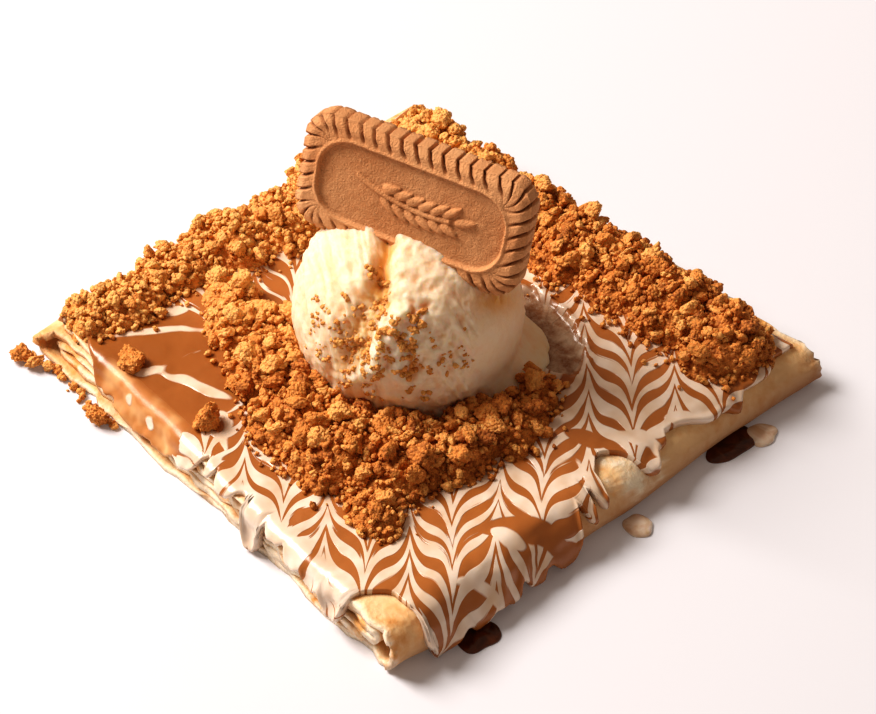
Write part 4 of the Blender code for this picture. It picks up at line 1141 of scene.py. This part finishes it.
# Each heap: its name, its mounds, its seed, and its loose bits: how many, smallest and largest across
# in millimetres, how far out they reach as a share of a mound, and how deep they sit as a share of a bit
FRINGE = (170, 0.6, 2.1, 1.5, 0.1)
HEAPS = (
    (
        "front",
        FRONT_HEAP,
        5,
        ((52, 3.9, 6.4, 0.80, 0.14), (260, 2.1, 3.8, 0.97, 0.16), (1700, 0.7, 2.1, 1.10, 0.10), FRINGE),
    ),
    (
        "left",
        LEFT_HEAP,
        6,
        ((12, 3.9, 5.2, 0.75, 0.14), (170, 2.1, 3.6, 0.95, 0.16), (1500, 0.7, 2.1, 1.14, 0.10), FRINGE),
    ),
    (
        "back",
        BACK_HEAP,
        7,
        ((40, 3.9, 6.0, 0.80, 0.14), (260, 2.1, 3.8, 0.97, 0.16), (1700, 0.7, 2.1, 1.10, 0.10), FRINGE),
    ),
)

# Bits that would lie lower than this, off the top of the parcel, are left out
LOWEST_SEAT = 8 * MM


def surface_under(trees, x, y):
    """The highest point of these pieces at a place in plan, or 0 where there is only the floor."""
    heights = [0.0]
    for tree in trees:
        hit, _, _, _ = tree.ray_cast(Vector((x, y, 0.2)), Vector((0, 0, -1)))
        if hit is not None:
            heights.append(hit.z)
    return max(heights)


def tree_of(name):
    """A piece's faces, sorted so that the nearest or the first one in a direction is found fast."""
    work = bmesh.new()
    work.from_mesh(bpy.data.objects[name].data)
    made = BVHTree.FromBMesh(work)
    work.free()
    return made


def cells(points, size, seed):
    """1 at the middle of each rounded grain about size across, falling to 0 and less between grains."""
    shift = Vector((seed * 5.3, seed * 2.9, seed * 1.1))
    return np.array([1 - 1.6 * noise.voronoi(Vector(p) + shift)[0][0] for p in np.asarray(points) / size])


def heap_height(mounds, x, y):
    """How high a heap's core stands over the sauce, in metres, at places in millimetres."""
    plan = on_plane(x, y)
    warp_x = x + 2.0 * grain(plan, 7, 3, 31)
    warp_y = y + 2.0 * grain(plan, 7, 3, 32)
    height = np.full(len(x), -1.0)
    for centre_x, centre_y, half_x, half_y, tall in mounds:
        inside = 1 - ((warp_x - centre_x) / half_x) ** 2 - ((warp_y - centre_y) / half_y) ** 2
        height = np.maximum(height, tall * np.where(inside > 0, np.abs(inside) ** 0.75, inside))
    return height * MM


def build_core(name, mounds, ground):
    """A heap's core: a height field over the sauce with crumb-sized relief, closed underneath."""
    middles, halves = np.array(mounds)[:, :2], np.array(mounds)[:, 2:4]
    low = (middles - halves).min(0) - 2
    size = (middles + halves).max(0) + 2 - low
    columns, rows = (int(side * MM / CORE_STEP) for side in size)
    obj, u, v = add_grid(name, columns, rows)
    x = low[0] + size[0] * u
    y = low[1] + size[1] * v
    height = heap_height(mounds, x, y)
    flat = on_plane(x, y)
    clods = cells(flat, 4.6, 33)
    bits = cells(flat, 1.5, 34)
    covered = ease(0.0, 1.5 * MM, height)
    base = np.array([surface_under(ground, px * MM, py * MM) for px, py in zip(x, y)])
    relief = covered * (2.3 * MM * clods + 0.8 * MM * bits)
    top = base + np.maximum(height, 0) * 0.84 - 0.7 * MM + relief
    set_places(obj, np.stack([x * MM, y * MM, top], -1))
    # The core's low tone, lighter only on top of its grains, paints shade into the gaps between bits
    set_values(obj, "tone", np.clip(0.18 + 0.45 * bits * clods, 0, 1))
    # What lies outside the mounds or over the floor goes, and the rest is closed underneath
    work = bmesh.new()
    work.from_mesh(obj.data)
    work.verts.ensure_lookup_table()
    bare = [work.verts[k] for k in np.flatnonzero((height < -0.9 * MM) | (base < 1 * MM))]
    bmesh.ops.delete(work, geom=bare, context="VERTS")
    work.to_mesh(obj.data)
    work.free()
    edit_all(obj)
    bpy.ops.mesh.region_to_loop()
    bpy.ops.mesh.extrude_region_move(TRANSFORM_OT_translate={"value": (0, 0, -0.4 * MM)})
    bpy.ops.mesh.fill(use_beauty=True)
    bpy.ops.object.mode_set(mode="OBJECT")
    face_out(obj)
    return obj


def chip(seed, subdivisions, faces_kept=1.0):
    """One broken bit of biscuit, half a unit in radius: a rough lump cut by a few flat breaks."""
    draw = random.Random(seed)
    ball = bpy.ops.mesh.primitive_ico_sphere_add
    obj = add_primitive("chip", ball, subdivisions=subdivisions, radius=1)
    breaks = []
    for _ in range(9):
        facing = Vector((draw.gauss(0, 1), draw.gauss(0, 1), draw.gauss(0, 1))).normalized()
        breaks.append((facing, draw.uniform(0.55, 0.88)))
    shift = Vector((draw.uniform(0, 90), draw.uniform(0, 90), draw.uniform(0, 90)))
    stretch = Vector((draw.uniform(1.0, 1.3), draw.uniform(0.8, 1.05), draw.uniform(0.7, 0.95)))
    for vertex in obj.data.vertices:
        facing = vertex.co.normalized()
        size = min([1.15] + [reach / max(facing.dot(way), 0.05) for way, reach in breaks])
        size *= 1 + 0.17 * noise.fractal(facing * 2.1 + shift, 0.7, 2.0, 4)
        size *= 1 + 0.30 * (0.35 - noise.voronoi(facing * (1.4 + 0.4 * subdivisions) + shift)[0][0])
        vertex.co = facing * size * stretch * 0.5
    if faces_kept < 1:
        apply_modifier(obj, "DECIMATE", ratio=faces_kept)
    places = vertex_places(obj)
    corners = np.empty(len(obj.data.loops), int)
    obj.data.loops.foreach_get("vertex_index", corners)
    bpy.data.objects.remove(obj)
    return places, corners.reshape(-1, 3)


SMALL_CHIPS = [chip(100 + k, 2, 0.45) for k in range(12)]
MIDDLE_CHIPS = [chip(200 + k, 3, 0.45) for k in range(14)]
LARGE_CHIPS = [chip(300 + k, 4, 0.75) for k in range(10)]


def add_mesh(name, places, faces):
    """Adds a piece from points and the rows of points that make its faces."""
    mesh = bpy.data.meshes.new(name)
    mesh.from_pydata(places, [], faces.tolist())
    obj = bpy.data.objects.new(name, mesh)
    bpy.context.scene.collection.objects.link(obj)
    return obj


def scatter(name, spots, seed):
    """One mesh of many bits. Each spot is its centre and its size across, in metres."""
    draw = random.Random(seed)
    all_places, all_faces, tones, used = [], [], [], 0
    for centre, size in spots:
        kinds = SMALL_CHIPS if size < 2.1 * MM else MIDDLE_CHIPS if size < 3.9 * MM else LARGE_CHIPS
        places, faces = draw.choice(kinds)
        turn = Matrix.Rotation(draw.uniform(0, math.tau), 3, "Z")
        tip = Matrix.Rotation(draw.uniform(-1.3, 1.3), 3, "X")
        all_places.append(places @ np.array(turn @ tip).T * size + np.array(centre))
        all_faces.append(faces + used)
        used += len(places)
        tones.append(np.full(len(places), draw.uniform(0, 1)))
    obj = add_mesh(name, np.concatenate(all_places), np.concatenate(all_faces))
    set_values(obj, "tone", np.concatenate(tones))
    return obj


def heap_spots(mounds, mix, ground, scoop, seed):
    """Where the loose bits of a heap lie: lumps over it, finer bits between them, and a thin fringe."""
    draw = random.Random(seed)
    weights = [half_x * half_y for _, _, half_x, half_y, _ in mounds]
    spots = []
    for count, smallest, largest, spread, sunk in mix:
        kept = []
        for _ in range(count * 12):
            if len(kept) == count:
                break
            x, y, half_x, half_y, _ = draw.choices(mounds, weights)[0]
            turn = draw.uniform(0, math.tau)
            out = math.sqrt(draw.uniform(0, 1)) * spread + max(0, draw.gauss(0, 0.10))
            px = (x + math.cos(turn) * out * half_x) * MM
            py = (y + math.sin(turn) * out * half_y) * MM
            size = draw.uniform(smallest, largest) * MM
            # Large bits keep apart, and none lies on the floor or in the scoop
            if size > 3.4 * MM and any(
                (px - a[0]) ** 2 + (py - a[1]) ** 2 < (0.36 * (size + b)) ** 2 for a, b in kept
            ):
                continue
            base = surface_under(ground, px, py)
            if base < LOWEST_SEAT:
                continue
            spot = Vector((px, py, base + size * (0.5 - sunk)))
            near, facing, _, _ = scoop.find_nearest(spot)
            if (spot - near).dot(facing) < 0.1 * size:
                continue
            kept.append((spot, size))
        spots += kept
    return spots


def crumb_material():
    """Broken baked dough: dry, porous and grainy, with painted shade in its gaps, and each bit its own
    tone.
    """
    made, tree, shader = new_material(
        "crushed_biscuit",
        Roughness=0.75,
        Specular_IOR_Level=0.35,
        Subsurface_Weight=0.15,
        Subsurface_Scale=1.5 * MM,
        Subsurface_Radius=(1.0, 0.45, 0.15),
    )
    place = add_node(tree, "TexCoord").outputs["Object"]
    tone = add_node(tree, "Attribute", attribute_name="tone").outputs["Fac"]
    # Each grain of baked flour and sugar is a little lighter or darker than the next
    grains = add_node(tree, "TexVoronoi", {"Vector": place, "Scale": 1 / CRUMB_GRAIN})
    shade = add_node(tree, "SeparateXYZ", {0: grains.outputs["Color"]}).outputs["X"]
    mixed = add_node(tree, "Math", {0: shade, 1: 0.45, 2: tone}, operation="MULTIPLY_ADD")
    level = add_node(tree, "MapRange", {"Value": mixed, "From Max": 1.45})
    # Paler bits, and the painted light over the left end
    light = add_node(tree, "MapRange", {"Value": level, "From Min": 0.45, "From Max": 1.0})
    # The darkest tone, mostly the core, paints shade into the gaps
    deep = add_node(tree, "MapRange", {"Value": level, "From Min": 0.38, "From Max": 0.0})
    whole = colour(CRUMB_BROWN)
    for share, over in ((light, CRUMB_PALE_AND_LIT), (deep, CRUMB_DEEP_AND_GAP_SHADE)):
        whole = add_node(tree, "Mix", {0: share, 6: whole, 7: colour(over)}, data_type="RGBA")
    fine = add_node(tree, "TexNoise", {"Vector": place, "Scale": 1 / CRUMB_GRAIN, "Detail": 3})
    lumps = add_node(tree, "Bump", {"Height": grains, "Strength": 0.9, "Distance": -0.6 * MM})
    sandy = add_node(tree, "Bump", {"Height": fine, "Strength": 0.8, "Distance": 0.6 * MM, "Normal": lumps})
    connect(tree, shader, {"Base Color": whole, "Normal": sandy})
    return made


crushed = crumb_material()
ground_trees = [tree_of("poured_sauce"), tree_of("folded_sheet")]
scoop_tree = tree_of("vanilla_scoop")
for place, mounds, seed, mix in HEAPS:
    core = build_core(f"crumbs_{place}", mounds, ground_trees)
    spots = heap_spots(mounds, mix, [tree_of(core.name)] + ground_trees, scoop_tree, seed)
    bits = scatter(f"bits_{place}", spots, seed + 10)
    select_only(core)
    bits.select_set(True)
    bpy.ops.object.join()
    # The bits are painted lighter towards the left end, as painted light where the lamp falls more strongly
    lit_left_end = 0.05 + 0.55 * ease(0, -50 * MM, vertex_places(core)[:, 0])
    set_values(core, "tone", get_values(core, "tone") + lit_left_end)
    finish_piece(core, crushed, [f"crumb_heap_{place}"])


def build_stray(name, x, y, size, on_floor, seed):
    """One large lump by itself, rough all over, sunk a little where it lies in sauce."""
    places, faces = chip(seed, 5)
    base = 0 if on_floor else surface_under(ground_trees, x, y)
    rough = cells(places, 0.16, seed)[:, None] * 0.045 * places / np.linalg.norm(places, axis=1)[:, None]
    placed = (places + rough) * np.array(size)
    lowest = placed[:, 2].min()
    placed = placed + (x, y, base - lowest - (0 if on_floor else 0.12 * size[2]))
    obj = add_mesh(name, placed, faces)
    set_values(obj, "tone", 0.5 + 0.35 * grain(placed, 2.2 * MM, 2, seed))
    return obj


# Each lump: the solid it stands for, x, y and sizes in millimetres, and whether it lies on the floor
STRAY_LUMPS = (
    ("crumb_on_sauce_left", -41.5, -58, (7.4, 6.8, 4.6), False),
    ("crumb_on_sauce_front", -12.5, -58.5, (5.4, 7.2, 8.0), False),
    ("crumb_at_corner", -71.0, -71.5, (6.2, 6.0, 5.0), True),
    ("crumb_at_foot", -40.8, -71.2, (5.6, 5.0, 4.6), True),
)
for count, (node, x, y, size, on_floor) in enumerate(STRAY_LUMPS):
    scaled = [side * MM for side in size]
    lump = build_stray(node.replace("crumb", "lump"), x * MM, y * MM, scaled, on_floor, 400 + count)
    finish_piece(lump, crushed, [node])

# Smaller bits that fell from the left corner against the foot of the parcel: x, y and size in millimetres
FOOT_BITS = (
    (-66.4, -69.6, 4.6),
    (-63.0, -68.4, 3.6),
    (-68.4, -68.8, 2.8),
    (-60.4, -67.6, 2.6),
    (-72.5, -68.6, 1.6),
)
FOOT_CRUMBS = 46
draw = random.Random(31)
foot_spots = []
for x, y, size in FOOT_BITS:
    foot_spots.append((Vector((x, y, 0.42 * size)) * MM, size * MM))
for _ in range(FOOT_CRUMBS):
    x = draw.uniform(-64, -36)
    size = draw.uniform(0.8, 2.4)
    gap = abs(draw.gauss(0, 0.8))
    foot_spots.append((Vector((x, -66.8 - 0.061 * (x + 64) - gap, 0.4 * size)) * MM, size * MM))
foot_bits = scatter("bits_at_foot", foot_spots, 33)
finish_piece(foot_bits, crushed, [])

# Bits stuck to the torn face of the scoop in patches, as seen from the front corner: the patch's middle
# to the right and up and its spread both ways, in radii, its clumps, and its largest bit in millimetres
STUCK_PATCHES = (
    (-0.22, 0.12, 0.06, 0.12, 8, 1.9),
    (-0.02, -0.14, 0.12, 0.08, 12, 2.0),
    (-0.42, -0.36, 0.20, 0.18, 52, 1.6),
    (0.05, -0.46, 0.26, 0.14, 24, 1.6),
    (-0.74, -0.16, 0.10, 0.18, 8, 1.2),
    (0.50, -0.30, 0.20, 0.20, 8, 1.2),
)
CLUMP_SPREAD = 0.024
stuck_spots = []
for middle_right, middle_up, spread_right, spread_up, count, largest in STUCK_PATCHES:
    for _ in range(count):
        clump_right = draw.gauss(middle_right, spread_right)
        clump_up = draw.gauss(middle_up, spread_up)
        for _ in range(draw.randint(1, 6)):
            right = clump_right + draw.gauss(0, CLUMP_SPREAD)
            up = clump_up + draw.gauss(0, CLUMP_SPREAD)
            if right**2 + up**2 > 0.9:
                continue
            out = math.sqrt(1 - right**2 - up**2)
            way = Vector(FRONT_RIGHT * right + FRONT_UP * up + FRONT_OUT * out)
            hit, _, _, _ = scoop_tree.ray_cast(Vector(SCOOP_CENTRE) + way * 0.08, -way)
            if hit is not None and hit.z > 17 * MM:
                size = draw.uniform(0.5, 1.3 * largest) * MM
                stuck_spots.append((hit - way * 0.08 * size, size))
stuck_bits = scatter("bits_on_scoop", stuck_spots, 35)
set_values(stuck_bits, "tone", 0.6 + 0.5 * get_values(stuck_bits, "tone"))
finish_piece(stuck_bits, crushed, [])


# Sauce on the floor
# Two puddles of caramel and two drops of cream sauce that ran down the fold at +X and pooled beside
# its foot. Each is flat below, with a round rim, and thick enough to hide the table under it.

# Thick set caramel, made darker still with painted shade where the pools lie under the fold
PUDDLE_BROWN_SHADED = "6E3A1A"
PUDDLE_DEEP_SHADED = "4A220E"
POOL_SWIRLS = 5 * MM

# Each pool in millimetres: the solid it stands for, x, y, half width, half length, height, slot
POOLS = (
    ("caramel_puddle_front", 75.0, -48.6, 4.2, 5.6, 1.1, "puddle"),
    ("caramel_puddle_back", 73.4, 40.0, 3.8, 7.6, 1.2, "puddle"),
    ("cream_drop", 77.0, 3.8, 3.0, 3.4, 1.5, "cream_drip"),
    ("cream_tongue", 76.6, 47.8, 2.9, 4.0, 1.4, "cream_drip"),
)


def build_pool(name, x, y, half_x, half_y, height):
    """A flat-bottomed pool that reaches in under the fold, with the round rim of surface tension."""
    obj = add_primitive(name, bpy.ops.mesh.primitive_uv_sphere_add, segments=96, ring_count=48, radius=1)
    places = vertex_places(obj)
    angle = np.arctan2(places[:, 1], places[:, 0])
    uneven = 1 + 0.08 * np.sin(3 * angle + 60 * y) + 0.04 * np.sin(5 * angle + x)
    inward = 1.3 - 0.3 * places[:, 0]
    crown = np.clip(places[:, 2], 0, 1) ** 0.7 * height
    placed_x = x + places[:, 0] * half_x * uneven * inward
    placed_y = y + places[:, 1] * half_y * uneven
    set_places(obj, np.stack([placed_x, placed_y, crown], -1) * MM)
    face_out(obj)
    return obj


def pool_material(name, pale, deep):
    """A pool of set sauce: wet gloss, swirled, and deeper in colour in places."""
    made, tree, shader = new_material(
        name,
        Roughness=0.1,
        IOR=1.46,
        Coat_Weight=0.5,
        Coat_Roughness=0.04,
        Subsurface_Weight=0.2,
        Subsurface_Scale=3 * MM,
        Subsurface_Radius=(1.0, 0.5, 0.2),
    )
    place = add_node(tree, "TexCoord").outputs["Object"]
    swirl = add_node(
        tree, "TexNoise", {"Vector": place, "Scale": 1 / POOL_SWIRLS, "Detail": 3, "Distortion": 1.2}
    )
    mixed = add_node(tree, "MapRange", {"Value": swirl, "From Min": 0.35, "From Max": 0.65})
    base = add_node(tree, "Mix", {0: mixed, 6: colour(pale), 7: colour(deep)}, data_type="RGBA")
    connect(tree, shader, {"Base Color": base})
    return made


POOLED = {
    "puddle": pool_material("pooled_caramel", PUDDLE_BROWN_SHADED, PUDDLE_DEEP_SHADED),
    "cream_drip": pool_material("pooled_cream_sauce", CREAM_SAUCE, CREAM_SHADE),
}
for node, x, y, half_x, half_y, height, slot in POOLS:
    pool = build_pool(f"{node}_pool", x, y, half_x, half_y, height)
    replaced = [node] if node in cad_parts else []
    finish_piece(pool, POOLED[slot], replaced)


# The floor, the light and the camera
# A matt white table under one large soft light from the left and a little behind. The room gives a
# weak, warm light from all round. The camera looks at the corner between +X and -Y.

TABLE_WHITE = "DCDCE2"
TABLE_GLOW = "FFF9F8"
ROOM_LIGHT = "FFE9D6"
ROOM_STRENGTH = 0.235
WINDOW_LIGHT = "FFFAF5"
WINDOW_WAY = Vector((-0.62, -0.30, 0.73)).normalized()
WINDOW_DISTANCE = 1.8
WINDOW_SIZE = 0.82
WINDOW_POWER = 35.5
WINDOW_AIM = Vector((0, 0, 20 * MM))
CAMERA_AZIMUTH = math.radians(47)
CAMERA_ELEVATION = math.radians(46.5)
CAMERA_DISTANCE = 1.0
CAMERA_AIM = Vector((1 * MM, 7 * MM, 0))
CAMERA_LENS = 161.1
SENSOR_WIDTH = 36

floor = add_primitive("white_table", bpy.ops.mesh.primitive_plane_add, size=3)
matt_white, _, _ = new_material(
    "matt_white_table",
    Roughness=0.6,
    Base_Color=colour(TABLE_WHITE),
    Emission_Color=colour(TABLE_GLOW),
    Emission_Strength=0.04,
)
floor.data.materials.append(matt_white)

world = bpy.data.worlds.new("room_light")
bpy.context.scene.world = world
world.use_nodes = True
background = world.node_tree.nodes["Background"]
connect(world.node_tree, background, {"Color": colour(ROOM_LIGHT), "Strength": ROOM_STRENGTH})
bpy.context.scene.view_settings.view_transform = "Standard"
bpy.context.scene.view_settings.look = "High Contrast"

bpy.ops.object.light_add(type="AREA")
window = bpy.context.object
window.name = "window"
window.location = WINDOW_AIM + WINDOW_WAY * WINDOW_DISTANCE
window.rotation_euler = WINDOW_WAY.to_track_quat("Z", "Y").to_euler()
window.data.shape = "SQUARE"
window.data.size = WINDOW_SIZE
window.data.energy = WINDOW_POWER
window.data.color = colour(WINDOW_LIGHT)[:3]

bpy.ops.object.camera_add()
camera = bpy.context.object
level = math.cos(CAMERA_ELEVATION)
camera_way = Vector(
    (math.sin(CAMERA_AZIMUTH) * level, -math.cos(CAMERA_AZIMUTH) * level, math.sin(CAMERA_ELEVATION))
)
camera.location = CAMERA_AIM + camera_way * CAMERA_DISTANCE
camera.rotation_euler = camera_way.to_track_quat("Z", "Y").to_euler()
camera.data.lens = CAMERA_LENS
camera.data.sensor_width = SENSOR_WIDTH
bpy.context.scene.camera = camera
